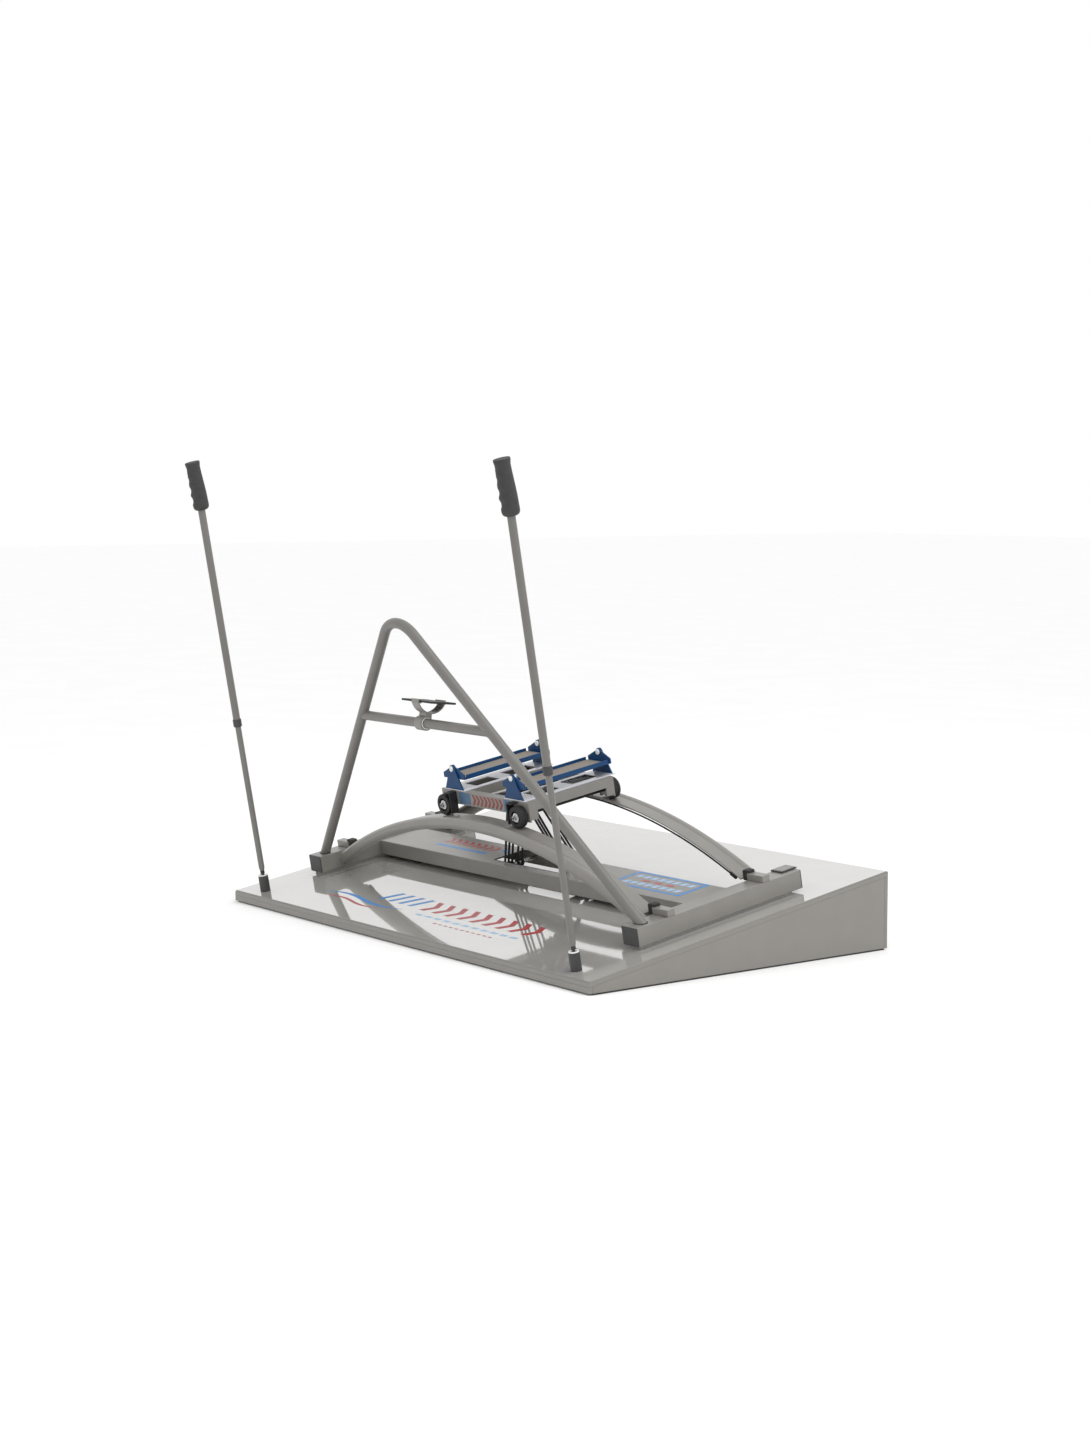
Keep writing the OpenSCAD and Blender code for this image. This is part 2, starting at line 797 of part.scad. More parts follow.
module carriage_channels() {
    y0 = beam_y + car_t;
    y1 = 2 * mid_y - y0;
    low = car_top_h - leg_h + 5;
    color(grey_paint) on_deck() left_and_right() {
        channel(car_half - car_t, 1, y0, y1, flange_w);
        slab(car_half - car_t, car_half, y0, y0 + leg_side_l, low, car_bottom + bite);
        slab(car_half - car_t, car_half, y1 - leg_side_l, y1, low, car_bottom + bite);
        difference() {
            channel(inner_x, -1, y0, y1, flange_w);
            slab(inner_x - 1, inner_x + car_t + 1, y0 - 1, y0 + flange_w + 0.2,
                car_top_h - flange_t - 0.1, car_top_h + 1);
            slab(inner_x - 1, inner_x + car_t + 1, y1 - flange_w - 0.2, y1 + 1,
                car_top_h - flange_t - 0.1, car_top_h + 1);
        }
    }
}

module top_plates() {
    color(light_paint) on_deck() left_and_right() difference() {
        slab(top_x0, top_x1, beam_y, top_y1, car_top_h, plate_base);
        for (w = windows) slab(window_x0, window_x1, w[0], w[1], car_top_h - 1, plate_base + 1);
    }
}

// Outline of an upright, seen along the slope, with its pivot at the origin
module upright_outline(base, low) {
    difference() {
        union() {
            circle(r = boss_r, $fn = fine);
            polygon([[-base, -low], [base, -low], [boss_r * 0.94, boss_r * 0.35],
                [-boss_r * 0.94, boss_r * 0.35]]);
        }
        circle(r = pin_d / 2 + seat_gap, $fn = fine);
    }
}

module upright(y) {
    translate([foot_x, y + end_t, pivot_h]) rotate([90, 0, 0]) linear_extrude(end_t)
        upright_outline(upright_half, pivot_h - plate_base);
}

module uprights() {
    color(blue_paint) on_deck() left_and_right() {
        upright(beam_y);
        upright(upright_rear_y);
    }
}

module axles() {
    color(dark_part) on_deck() left_and_right()
        rod_y(wheel_x, wheel_h, axle_r, axle_front, 2 * mid_y - axle_front);
}

module axle_nuts() {
    y0 = axle_front + 1;
    color("#c9c9c9") on_deck() front_and_rear() left_and_right() difference() {
        translate([wheel_x, y0 + nut_t, wheel_h]) rotate([90, 0, 0])
            cylinder(h = nut_t, d = nut_flats / cos(30), $fn = 6);
        rod_y(wheel_x, wheel_h, axle_r + seat_gap, y0 - 1, y0 + nut_t + 1);
    }
}

// Bent bracket over a wheel, with a cheek on its inner side
module wheel_brackets() {
    top = car_top_h - 2;
    inner = wheel_x - wheel_r - 2 * bracket_t;
    y0 = beam_y - wheel_w - 2;
    color(dark_part) on_deck() front_and_rear() left_and_right() {
        slab(inner, wheel_x - bracket_short, y0, beam_y, top - bracket_t, top);
        slab(inner, inner + bracket_t, y0, beam_y, wheel_h - cheek_drop, top - bracket_t + bite);
    }
}

module band_bars() {
    y0 = beam_y + car_t;
    color(dark_part) on_deck() for (x = [bar_left_x, bar_right_x])
        rod_y(x, bar_h, bar_d / 2, y0, 2 * mid_y - y0);
}

// Pin with a domed head in front and a nut behind; the plates lie between them
module pivot_pin(y) {
    length = 2 * end_t + end_gap + pin_play;
    translate([foot_x, y, pivot_h]) rotate([-90, 0, 0]) {
        translate([0, 0, -bite]) cylinder(h = length + bite + 7, d = pin_d, $fn = fine);
        intersection() {
            translate([0, 0, -head_t]) cylinder(h = head_t, r = head_r, $fn = fine);
            translate([0, 0, dome_back]) sphere(r = dome_r, $fn = finer);
        }
        translate([0, 0, length]) cylinder(h = 5, d = 16, $fn = 6);
    }
}

module pivot_pins() {
    color("#e6e6e4") on_deck() left_and_right() {
        pivot_pin(beam_y);
        pivot_pin(upright_rear_y - end_gap - end_t - pin_play);
    }
}

// Wheel coordinates: the axle along y
module at_wheel(side, rear) {
    y = rear ? 2 * mid_y - wheel_y : wheel_y;
    on_deck() translate([side * wheel_x, y, wheel_h]) rotate([90, 0, 0]) children();
}

module tyre() {
    r_in = tyre_in;
    crown = 3;
    half = wheel_w / 2;
    color(black_rubber) rotate_extrude($fn = finer) polygon([[r_in, -half], [wheel_r - crown, -half],
        [wheel_r - crown * 0.3, -half + crown * 0.7], [wheel_r, -half + crown * 2],
        [wheel_r, half - crown * 2], [wheel_r - crown * 0.3, half - crown * 0.7],
        [wheel_r - crown, half], [r_in, half]]);
}

module hub() {
    rim_r = tyre_in - seat_gap;
    half = wheel_w / 2;
    color(dark_part) difference() {
        union() {
            difference() {
                translate([0, 0, -half + 1]) cylinder(h = wheel_w - 2, r = rim_r, $fn = finer);
                translate([0, 0, -half]) cylinder(h = wheel_w, r = rim_r - hub_rim, $fn = finer);
            }
            difference() {
                translate([0, 0, -hub_web / 2]) cylinder(h = hub_web, r = rim_r - hub_rim + bite,
                    $fn = finer);
                for (i = [0:hub_holes - 1]) rotate([0, 0, i * 360 / hub_holes])
                    translate([hub_hole_at, 0, -hub_web]) cylinder(h = 2 * hub_web, r = hub_hole_r,
                        $fn = fine);
            }
            translate([0, 0, -half + 2]) cylinder(h = wheel_w - 4, r = hub_plate_r, $fn = fine);
            translate([0, 0, -half - hub_proud])
                cylinder(h = wheel_w + 2 * hub_proud, r = hub_boss_r, $fn = fine);
            for (i = [0:hub_studs - 1]) rotate([0, 0, (i + 0.5) * 360 / hub_studs])
                translate([hub_stud_at, 0, -half]) cylinder(h = wheel_w, r = hub_stud_r, $fn = fine);
        }
        translate([0, 0, -wheel_w]) cylinder(h = 2 * wheel_w, r = axle_r + run_gap, $fn = fine);
    }
}

module tyre_front_left() { at_wheel(-1, false) tyre(); }
module hub_front_left() { at_wheel(-1, false) hub(); }
module tyre_front_right() { at_wheel(1, false) tyre(); }
module hub_front_right() { at_wheel(1, false) hub(); }
module tyre_rear_left() { at_wheel(-1, true) tyre(); }
module hub_rear_left() { at_wheel(-1, true) hub(); }
module tyre_rear_right() { at_wheel(1, true) tyre(); }
module hub_rear_right() { at_wheel(1, true) hub(); }

// End plate of a footplate, seen along the slope
module end_outline() {
    half = foot_w / 2;
    low = foot_drop;
    difference() {
        union() {
            circle(r = boss_r, $fn = fine);
            polygon([[-half, -low], [half, -low], [half, -low + ear_h],
                [boss_r * 0.9, boss_r * 0.4], [-boss_r * 0.9, boss_r * 0.4], [-half, -low + ear_h]]);
        }
        circle(r = pin_d / 2 + run_gap, $fn = fine);
    }
}

module footplate(side) {
    half = foot_w / 2;
    low = pivot_h - foot_drop;
    color(blue_paint) on_deck() {
        for (y = [foot_y0, foot_y1 - end_t]) translate([side * foot_x, y + end_t, pivot_h])
            rotate([90, 0, 0]) linear_extrude(end_t) end_outline();
        translate([side * foot_x, 0, 0]) {
            slab(-half, half, foot_y0 + bite, foot_y1 - bite, low, low + foot_sheet);
            for (x = [-half, half - foot_sheet])
                slab(x, x + foot_sheet, foot_y0 + end_t + lip_front, foot_y1 - end_t - lip_rear,
                    low, low + foot_lip);
        }
    }
}

module tread(side) {
    half = foot_w / 2 - foot_sheet - 0.2;
    low = pivot_h - foot_drop + foot_sheet;
    color("#8d867e") on_deck() slab(side * foot_x - half, side * foot_x + half,
        foot_y0 + end_t + 8, foot_y1 - end_t - 8, low, low + tread_t);
}

module footplate_left() { footplate(-1); }
module tread_left() { tread(-1); }
module footplate_right() { footplate(1); }
module tread_right() { tread(1); }

// Pole coordinates: origin on the deck under the pole
module at_pole(side) {
    on_deck() translate([side * pole_x, pole_y, 0]) children();
}

module pole_holder() {
    difference() {
        union() {
            cylinder(h = holder_h, d = holder_d - 1, $fn = finer);
            cylinder(h = holder_h - 8, d = holder_d, $fn = finer);
        }
        translate([0, 0, ball_h]) sphere(r = ball_r + run_gap, $fn = finer);
        translate([0, 0, ball_h]) cylinder(h = holder_h, r = ball_r + run_gap, $fn = finer);
        translate([0, 0, ring_seat_h - 0.05])
            cylinder(h = holder_h, r = ring_r + seat_gap, $fn = finer);
    }
}

module pole_holders() {
    color(dark_part) for (side = [-1, 1]) at_pole(side) pole_holder();
}

// The ring keeps the ball down and leaves a flared mouth for the tip
module holder_ring() {
    difference() {
        union() {
            translate([0, 0, ring_seat_h])
                cylinder(h = ring_top - ring_seat_h, r = ring_r, $fn = finer);
            translate([0, 0, holder_h + 0.05])
                cylinder(h = ring_top - holder_h - 0.05, r = ring_flange_r, $fn = finer);
        }
        translate([0, 0, ball_h]) {
            sphere(r = ball_r + run_gap, $fn = finer);
            rotate_extrude($fn = finer) polygon([[0, 0], [mouth_low_r - 0.1, 0],
                [mouth_low_r, mouth_low_h], [mouth_top_r + 0.2, ring_top - ball_h + 1],
                [0, ring_top - ball_h + 1]]);
        }
    }
}

module holder_rings() {
    color("#ececea") for (side = [-1, 1]) at_pole(side) holder_ring();
}

module ball() {
    color("#9a9a9a") translate([0, 0, ball_h]) difference() {
        sphere(r = ball_r, $fn = finer);
        slab(-ball_r - 1, ball_r + 1, -ball_slot / 2, ball_slot / 2, -tongue_r - 1, ball_r + 1);
        rotate([90, 0, 0]) translate([0, 0, -ball_r])
            cylinder(h = 2 * ball_r, r = cross_pin_r + run_gap, $fn = fine);
    }
}

// Tongue, cross pin, neck and body of the pole tip
module pole_tip() {
    pin_half = 8.5;
    neck_top = tip_start + 1;
    color(black_rubber) {
        translate([0, tongue_t / 2, ball_h]) rotate([90, 0, 0])
            cylinder(h = tongue_t, r = tongue_r, $fn = fine);
        slab(-neck_r + 0.4, neck_r - 0.4, -tongue_t / 2, tongue_t / 2, ball_h, ball_h + 9);
        translate([0, pin_half, ball_h]) rotate([90, 0, 0])
            cylinder(h = 2 * pin_half, r = cross_pin_r, $fn = fine);
        intersection() {
            translate([0, 0, ball_h + 5]) cylinder(h = 6, r = neck_r, $fn = fine);
            slab(-neck_r, neck_r, -tongue_t / 2, tongue_t / 2, ball_h, neck_top);
        }
        translate([0, 0, ball_h + ball_r + 0.6])
            cylinder(h = neck_top - ball_h - ball_r - 0.6, r = neck_r, $fn = fine);
        rotate_extrude($fn = finer) polygon([[0, tip_start], [tip_r - 1, tip_start],
            [tip_r, tip_start + 1], [tip_r, tip_shoulder], [0, tip_shoulder]]);
        translate([0, 0, tip_shoulder - bite])
            cylinder(h = tip_spigot, r = tip_r - swage_wall - seat_gap, $fn = fine);
    }
}

module tube(z0, z1, r, wall) {
    translate([0, 0, z0]) difference() {
        cylinder(h = z1 - z0, r = r, $fn = fine);
        translate([0, 0, -1]) cylinder(h = z1 - z0 + 2, r = r - wall, $fn = fine);
    }
}

// Tube with a swaged lower end, which holds the tip's spigot
module lower_tube() {
    in = tip_r - swage_wall;
    color(grey_paint) rotate_extrude($fn = finer) polygon([[in, tip_shoulder],
        [tip_r, tip_shoulder], [low_d / 2, tip_shoulder + swage_l], [low_d / 2, low_top],
        [low_d / 2 - low_wall, low_top], [low_d / 2 - low_wall, tip_shoulder + swage_l + 2],
        [in, tip_shoulder + 2]]);
}

module upper_tube() {
    wall = up_d / 2 - low_d / 2 - run_gap;
    color(grey_paint) tube(collar_at - collar_half + collar_floor, grip_base + grip_bore,
        up_d / 2, wall);
}

module collar() {
    z0 = collar_at - collar_half;
    chamfer = 1.5;
    color(dark_part) difference() {
        rotate_extrude($fn = finer) polygon([[0, z0], [collar_r - chamfer, z0],
            [collar_r, z0 + chamfer], [collar_r, z0 + 2 * collar_half - chamfer],
            [collar_r - chamfer, z0 + 2 * collar_half], [0, z0 + 2 * collar_half]]);
        translate([0, 0, z0 - 1]) cylinder(h = 3 * collar_half, r = low_d / 2 + run_gap, $fn = finer);
        translate([0, 0, z0 + collar_floor])
            cylinder(h = 2 * collar_half, r = up_d / 2 + seat_gap, $fn = finer);
    }
}

// Handle that leans forward, with finger grooves round its front and a slanted top
module grip() {
    r = grip_d / 2;
    ring = r - groove_depth + groove_shift + groove_r;
    color("#4a4a4a") translate([0, 0, grip_base]) difference() {
        translate([0, grip_back, 0]) rotate([grip_lean, 0, 0]) difference() {
            rotate_extrude($fn = finer) polygon([[0, 0], [r * 0.6, 0], [r * 0.84, 3],
                [r * 0.95, 8], [r, 15], [r, 50], [r * 0.96, 75], [grip_neck_r + 0.6, grip_l * 0.74],
                [grip_neck_r, grip_l - 17], [grip_lip_r, grip_l - 7], [grip_lip_r, grip_l + 2],
                [0, grip_l + 2]]);
            for (i = [0:groove_count - 1])
                translate([0, groove_shift, groove_first + i * groove_pitch])
                    rotate_extrude($fn = finer) translate([ring, 0]) circle(r = groove_r, $fn = finer);
            translate([0, 0, grip_l - 1]) rotate([grip_slant, 0, 0])
                translate([-r * 2, -r * 2, 0]) cube([r * 4, r * 4, r]);
        }
        translate([0, 0, -1]) cylinder(h = grip_bore + 1.1, r = up_d / 2 + seat_gap, $fn = fine);
    }
}

module ball_left() { at_pole(-1) ball(); }
module pole_tip_left() { at_pole(-1) pole_tip(); }
module lower_tube_left() { at_pole(-1) lower_tube(); }
module collar_left() { at_pole(-1) collar(); }
module upper_tube_left() { at_pole(-1) upper_tube(); }
module grip_left() { at_pole(-1) grip(); }
module ball_right() { at_pole(1) ball(); }
module pole_tip_right() { at_pole(1) pole_tip(); }
module lower_tube_right() { at_pole(1) lower_tube(); }
module collar_right() { at_pole(1) collar(); }
module upper_tube_right() { at_pole(1) upper_tube(); }
module grip_right() { at_pole(1) grip(); }

deck_sheet();
deck_board();
skirts();
joists();
floor_strips();
rails();
rail_seats();
rail_caps();
rail_pads();
arch_front();
arch_rear();
track_strips();
guide_rods();
bump_blocks();
buffers();
band_box();
band_rollers();
bands();
handrail();
crossbar();
pole_holders();
holder_rings();
bracket_clamp();
clamp_bolt();
bracket_yoke();
bracket_plate();
carriage_beams();
carriage_channels();
top_plates();
uprights();
axles();
axle_nuts();
wheel_brackets();
band_bars();
pivot_pins();
tyre_front_left();
hub_front_left();
tyre_front_right();
hub_front_right();
tyre_rear_left();
hub_rear_left();
tyre_rear_right();
hub_rear_right();
footplate_left();
tread_left();
footplate_right();
tread_right();
ball_left();
pole_tip_left();
lower_tube_left();
collar_left();
upper_tube_left();
grip_left();
ball_right();
pole_tip_right();
lower_tube_right();
collar_right();
upper_tube_right();
grip_right();
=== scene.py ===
import json
import math

import bmesh
import bpy
from mathutils import Matrix, Vector

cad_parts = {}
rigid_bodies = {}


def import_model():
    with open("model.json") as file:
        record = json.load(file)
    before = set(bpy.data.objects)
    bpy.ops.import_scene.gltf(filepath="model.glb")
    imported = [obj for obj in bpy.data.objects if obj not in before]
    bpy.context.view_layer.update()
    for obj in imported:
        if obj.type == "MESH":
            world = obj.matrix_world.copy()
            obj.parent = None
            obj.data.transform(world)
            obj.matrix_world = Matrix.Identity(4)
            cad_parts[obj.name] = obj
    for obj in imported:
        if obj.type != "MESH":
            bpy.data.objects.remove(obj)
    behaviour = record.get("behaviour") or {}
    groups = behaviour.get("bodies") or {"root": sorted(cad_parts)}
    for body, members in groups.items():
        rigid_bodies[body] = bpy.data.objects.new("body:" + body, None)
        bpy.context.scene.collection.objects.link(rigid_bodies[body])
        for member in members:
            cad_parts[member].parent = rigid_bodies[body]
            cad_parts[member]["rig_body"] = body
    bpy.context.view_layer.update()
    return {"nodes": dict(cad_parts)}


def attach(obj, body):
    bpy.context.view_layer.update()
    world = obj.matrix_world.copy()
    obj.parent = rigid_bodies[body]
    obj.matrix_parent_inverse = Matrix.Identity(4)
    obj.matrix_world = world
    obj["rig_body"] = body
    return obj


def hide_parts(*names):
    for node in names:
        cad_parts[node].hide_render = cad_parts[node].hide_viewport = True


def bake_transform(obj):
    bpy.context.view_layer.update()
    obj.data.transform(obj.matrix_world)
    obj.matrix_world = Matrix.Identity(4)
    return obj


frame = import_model()
nodes = frame["nodes"]
print("frame loaded with", len(nodes), "nodes")

# Lengths in this file are millimetres in deck coordinates: x across, y up the slope, h off the deck
deckPlane = {"slope": 10.0, "frontY": -530.0, "frontHeight": 36.0}
mm = 0.001
toWorld = (Matrix.Translation((0, deckPlane["frontY"] * mm, deckPlane["frontHeight"] * mm))
           @ Matrix.Rotation(math.radians(deckPlane["slope"]), 4, "X") @ Matrix.Scale(mm, 4))


# An sRGB hex code as the linear colour that shader sockets take
def linearColour(hexCode):
    parts = [int(hexCode[i:i + 2], 16) / 255 for i in (1, 3, 5)]
    return [p / 12.92 if p <= 0.04045 else ((p + 0.055) / 1.055) ** 2.4 for p in parts] + [1.0]


# A shader node with its settings, by attribute or socket, and the outputs that feed it
def addNode(tree, kind, settings=None, links=None):
    node = tree.nodes.new("ShaderNode" + kind)
    for key, value in (settings or {}).items():
        if isinstance(key, str) and hasattr(node, key):
            setattr(node, key, value)
        else:
            node.inputs[key].default_value = value
    for key, source in (links or {}).items():
        tree.links.new(source, node.inputs[key])
    return node


# A new material with the look's plain colour, roughness and shader settings
def startMaterial(look):
    material = bpy.data.materials.new(look["name"])
    material.use_nodes = True
    shader = material.node_tree.nodes["Principled BSDF"]
    shader.inputs["Base Color"].default_value = linearColour(look["colour"])
    shader.inputs["Roughness"].default_value = look["roughness"]
    for socket, value in look.get("shader", {}).items():
        shader.inputs[socket].default_value = value
    material.diffuse_color = linearColour(look["colour"])
    return material, material.node_tree, shader


# Where each noise starts and stops to count, and its octaves
noise = {"perMetre": 1000, "cloudDetail": 3.0, "cloudLow": 0.35, "cloudHigh": 0.65,
         "grainDetail": 2.0, "grainLow": 0.3, "grainHigh": 0.7}


# Colour, gloss and relief from two noises: cloudMm wide patches and grainMm wide grains
def grainedSurface(look):
    material, tree, shader = startMaterial(look)
    place = addNode(tree, "TexCoord").outputs[look.get("space", "Object")]
    stretched = addNode(tree, "Mapping", {"Scale": look.get("stretch", (1, 1, 1))}, {"Vector": place})
    cloud = addNode(tree, "TexNoise",
                    {"Scale": noise["perMetre"] / look["cloudMm"], "Detail": noise["cloudDetail"]},
                    {"Vector": stretched.outputs[0]})
    patch = addNode(tree, "MapRange", {"From Min": noise["cloudLow"], "From Max": noise["cloudHigh"]},
                    {"Value": cloud.outputs[0]})
    tint = addNode(tree, "Mix", {"data_type": "RGBA", 6: linearColour(look["colour"]),
                                 7: linearColour(look["shade"])}, {0: patch.outputs[0]})
    grain = addNode(tree, "TexNoise",
                    {"Scale": noise["perMetre"] / look["grainMm"], "Detail": noise["grainDetail"]},
                    {"Vector": stretched.outputs[0]})
    gloss = addNode(tree, "MapRange", {"From Min": noise["grainLow"], "From Max": noise["grainHigh"],
                                       "To Min": look["roughness"] - look["glossSpread"],
                                       "To Max": look["roughness"] + look["glossSpread"]},
                    {"Value": grain.outputs[0]})
    relief = addNode(tree, "Bump", {"Strength": 1.0, "Distance": look["reliefMm"] * mm},
                     {"Height": grain.outputs[0]})
    tree.links.new(tint.outputs[2], shader.inputs["Base Color"])
    tree.links.new(gloss.outputs[0], shader.inputs["Roughness"])
    tree.links.new(relief.outputs[0], shader.inputs["Normal"])
    return material


# Each look: what the real surface is, and what that gives the eye
looks = {
    # High-pressure laminate, polished: a mirror at a low angle, plain warm grey straight on
    "deckLaminate": {
        "name": "laminatePolishedGrey", "colour": "#b1afaa", "shade": "#adaba6", "roughness": 0.06,
        "glossSpread": 0.02, "cloudMm": 90, "grainMm": 4, "reliefMm": 0.003,
        "shader": {"IOR": 2.0, "Coat Weight": 1.0, "Coat Roughness": 0.03, "Coat IOR": 2.2}},
    # Powder coat under clear lacquer: soft highlights with a faint orange peel
    "framePaint": {
        "name": "steelPowderCoatedGrey", "colour": "#827f7a", "shade": "#7e7b76", "roughness": 0.38,
        "glossSpread": 0.05, "cloudMm": 60, "grainMm": 1.6, "reliefMm": 0.02,
        "shader": {"Coat Weight": 0.35, "Coat Roughness": 0.2}},
    # The same powder on drawn tube, a little darker and flatter
    "tubePaint": {
        "name": "tubePowderCoatedGrey", "colour": "#706e6a", "shade": "#6c6a66", "roughness": 0.42,
        "glossSpread": 0.05, "cloudMm": 60, "grainMm": 1.6, "reliefMm": 0.02,
        "shader": {"Coat Weight": 0.2, "Coat Roughness": 0.25}},
    # Plywood edge, filled and rolled with paint: flatter and a little uneven
    "boardPaint": {
        "name": "plywoodRolledPaintGrey", "colour": "#827f7a", "shade": "#807d78", "roughness": 0.5,
        "glossSpread": 0.06, "cloudMm": 70, "grainMm": 3, "reliefMm": 0.03,
        "shader": {"Coat Weight": 0.3, "Coat Roughness": 0.25}},
    # White powder coat on sheet steel, smooth and fairly glossy; its pale lavender white also holds a
    # painted reflection of the white sky
    "plateSkyReflectionPaint": {
        "name": "steelPowderCoatWhiteSkyReflection", "colour": "#dcdce2", "shade": "#d3d3da", "roughness": 0.28,
        "glossSpread": 0.05, "cloudMm": 50, "grainMm": 1.4, "reliefMm": 0.015,
        "shader": {"Coat Weight": 0.6, "Coat Roughness": 0.1}},
    # Blue powder coat on folded sheet, satin
    "bluePaint": {
        "name": "steelPowderCoatedBlue", "colour": "#04406f", "shade": "#043a66", "roughness": 0.45,
        "glossSpread": 0.06, "cloudMm": 40, "grainMm": 1.4, "reliefMm": 0.02,
        "shader": {"Specular IOR Level": 0.3, "Coat Weight": 0.05, "Coat Roughness": 0.25}},
    # Black oxide steel, oiled: dark with a dull metal glint
    "blackSteel": {
        "name": "steelBlackOxide", "colour": "#2e2e2e", "shade": "#252525", "roughness": 0.52,
        "glossSpread": 0.08, "cloudMm": 20, "grainMm": 1.0, "reliefMm": 0.01,
        "shader": {"Metallic": 0.4}},
    # Zinc plating, bright, with faint cloudy patches
    "zincPlate": {
        "name": "steelZincPlated", "colour": "#c4c5c4", "shade": "#a9aaab", "roughness": 0.28,
        "glossSpread": 0.07, "cloudMm": 6, "grainMm": 0.8, "reliefMm": 0.005,
        "shader": {"Metallic": 1.0}},
    # Turned steel, fine tool marks round the ball
    "turnedSteel": {
        "name": "steelTurned", "colour": "#a3a3a2", "shade": "#8f8f8e", "roughness": 0.25,
        "glossSpread": 0.08, "cloudMm": 8, "grainMm": 0.6, "reliefMm": 0.008, "stretch": (1, 1, 8),
        "shader": {"Metallic": 1.0}},
    # Glass-filled nylon, moulded with a spark-eroded texture: dark, even and dull
    "blackNylon": {
        "name": "nylonMouldedBlack", "colour": "#3a3a3a", "shade": "#333333", "roughness": 0.5,
        "glossSpread": 0.07, "cloudMm": 25, "grainMm": 0.7, "reliefMm": 0.03,
        "shader": {"IOR": 1.53}},
    # The same nylon in the wheel bodies and the holder plate, jet black
    "wheelNylon": {
        "name": "nylonMouldedWheel", "colour": "#131313", "shade": "#0e0e0e", "roughness": 0.5,
        "glossSpread": 0.07, "cloudMm": 15, "grainMm": 0.7, "reliefMm": 0.03,
        "shader": {"IOR": 1.53}},
    # The same nylon in the pole tips, worn shiny
    "tipNylon": {
        "name": "nylonMouldedTip", "colour": "#222222", "shade": "#1b1b1b", "roughness": 0.36,
        "glossSpread": 0.06, "cloudMm": 12, "grainMm": 0.7, "reliefMm": 0.015,
        "shader": {"IOR": 1.53}},
    # Acetal, turned: clean white with a soft waxy shine
    "whiteAcetal": {
        "name": "acetalTurnedWhite", "colour": "#f0f0ee", "shade": "#e6e6e3", "roughness": 0.3,
        "glossSpread": 0.04, "cloudMm": 12, "grainMm": 0.8, "reliefMm": 0.008,
        "shader": {"Subsurface Weight": 0.05, "IOR": 1.48}},
    # EPDM rubber, extruded: dull black with a dusty bloom
    "blockRubber": {
        "name": "rubberExtrudedBlack", "colour": "#242424", "shade": "#2c2b2a", "roughness": 0.72,
        "glossSpread": 0.08, "cloudMm": 18, "grainMm": 1.2, "reliefMm": 0.05,
        "shader": {"IOR": 1.52}},
    # Moulded tyre rubber with fine mould grain
    "tyreRubber": {
        "name": "rubberMouldedTyre", "colour": "#101011", "shade": "#161616", "roughness": 0.55,
        "glossSpread": 0.08, "cloudMm": 9, "grainMm": 0.8, "reliefMm": 0.03,
        "shader": {"IOR": 1.52}},
    # Soft thermoplastic rubber of the handles: dark grey, even, faintly leathery
    "gripRubber": {
        "name": "rubberMouldedGrip", "colour": "#363636", "shade": "#303030", "roughness": 0.62,
        "glossSpread": 0.07, "cloudMm": 15, "grainMm": 0.9, "reliefMm": 0.06,
        "shader": {"IOR": 1.5}},
    # PVC pad, cut from sheet
    "padPvc": {
        "name": "pvcSheetGrey", "colour": "#8f8e8b", "shade": "#868582", "roughness": 0.5,
        "glossSpread": 0.06, "cloudMm": 14, "grainMm": 1.0, "reliefMm": 0.03,
        "shader": {"IOR": 1.53}},
    # Cast aluminium hub under silver lacquer
    "hubLacquer": {
        "name": "aluminiumCastSilver", "colour": "#dcdfde", "shade": "#c6c9c8", "roughness": 0.3,
        "glossSpread": 0.06, "cloudMm": 8, "grainMm": 1.0, "reliefMm": 0.02,
        "shader": {"Metallic": 0.35, "Coat Weight": 0.5, "Coat Roughness": 0.15}},
    # Sawn spruce: pale, with long darker streaks along the joist
    "sawnSpruce": {
        "name": "spruceSawn", "colour": "#b79f78", "shade": "#9c8158", "roughness": 0.75,
        "glossSpread": 0.08, "cloudMm": 9, "grainMm": 2.5, "reliefMm": 0.15, "stretch": (1, 0.05, 1),
        "shader": {"IOR": 1.5}},
    # Grit bonded to sheet: warm grey grains about a millimetre across
    "gritSheet": {
        "name": "gritSheetBonded", "colour": "#8d867e", "shade": "#7a736a", "roughness": 0.85,
        "glossSpread": 0.1, "cloudMm": 2.2, "grainMm": 1.2, "reliefMm": 0.35,
        "shader": {"IOR": 1.5}},
    # Screen-printed vinyl inks: even colour, a touch of film grain
    "inkBlue": {
        "name": "vinylPrintedBlue", "colour": "#1f78bd", "shade": "#2780c4", "roughness": 0.3,
        "glossSpread": 0.04, "cloudMm": 12, "grainMm": 0.8, "reliefMm": 0.004,
        "shader": {"IOR": 1.45}},
    "inkPaleBlue": {
        "name": "vinylPrintedPaleBlue", "colour": "#8fb3d8", "shade": "#9cbcdc", "roughness": 0.3,
        "glossSpread": 0.04, "cloudMm": 12, "grainMm": 0.8, "reliefMm": 0.004,
        "shader": {"IOR": 1.45}},
    # Thinner inks on the carriage, where the grey paint shows through
    "beamBlue": {
        "name": "vinylPrintedSteelBlue", "colour": "#46637f", "shade": "#4b6884", "roughness": 0.4,
        "glossSpread": 0.05, "cloudMm": 9, "grainMm": 0.8, "reliefMm": 0.004,
        "shader": {"IOR": 1.45}},
    "beamRed": {
        "name": "vinylPrintedBrickRed", "colour": "#7d3b35", "shade": "#84433c", "roughness": 0.4,
        "glossSpread": 0.05, "cloudMm": 9, "grainMm": 0.8, "reliefMm": 0.004,
        "shader": {"IOR": 1.45}},
    "inkRed": {
        "name": "vinylPrintedRed", "colour": "#a01c24", "shade": "#a9242b", "roughness": 0.3,
        "glossSpread": 0.04, "cloudMm": 12, "grainMm": 0.8, "reliefMm": 0.004,
        "shader": {"IOR": 1.45}},
}
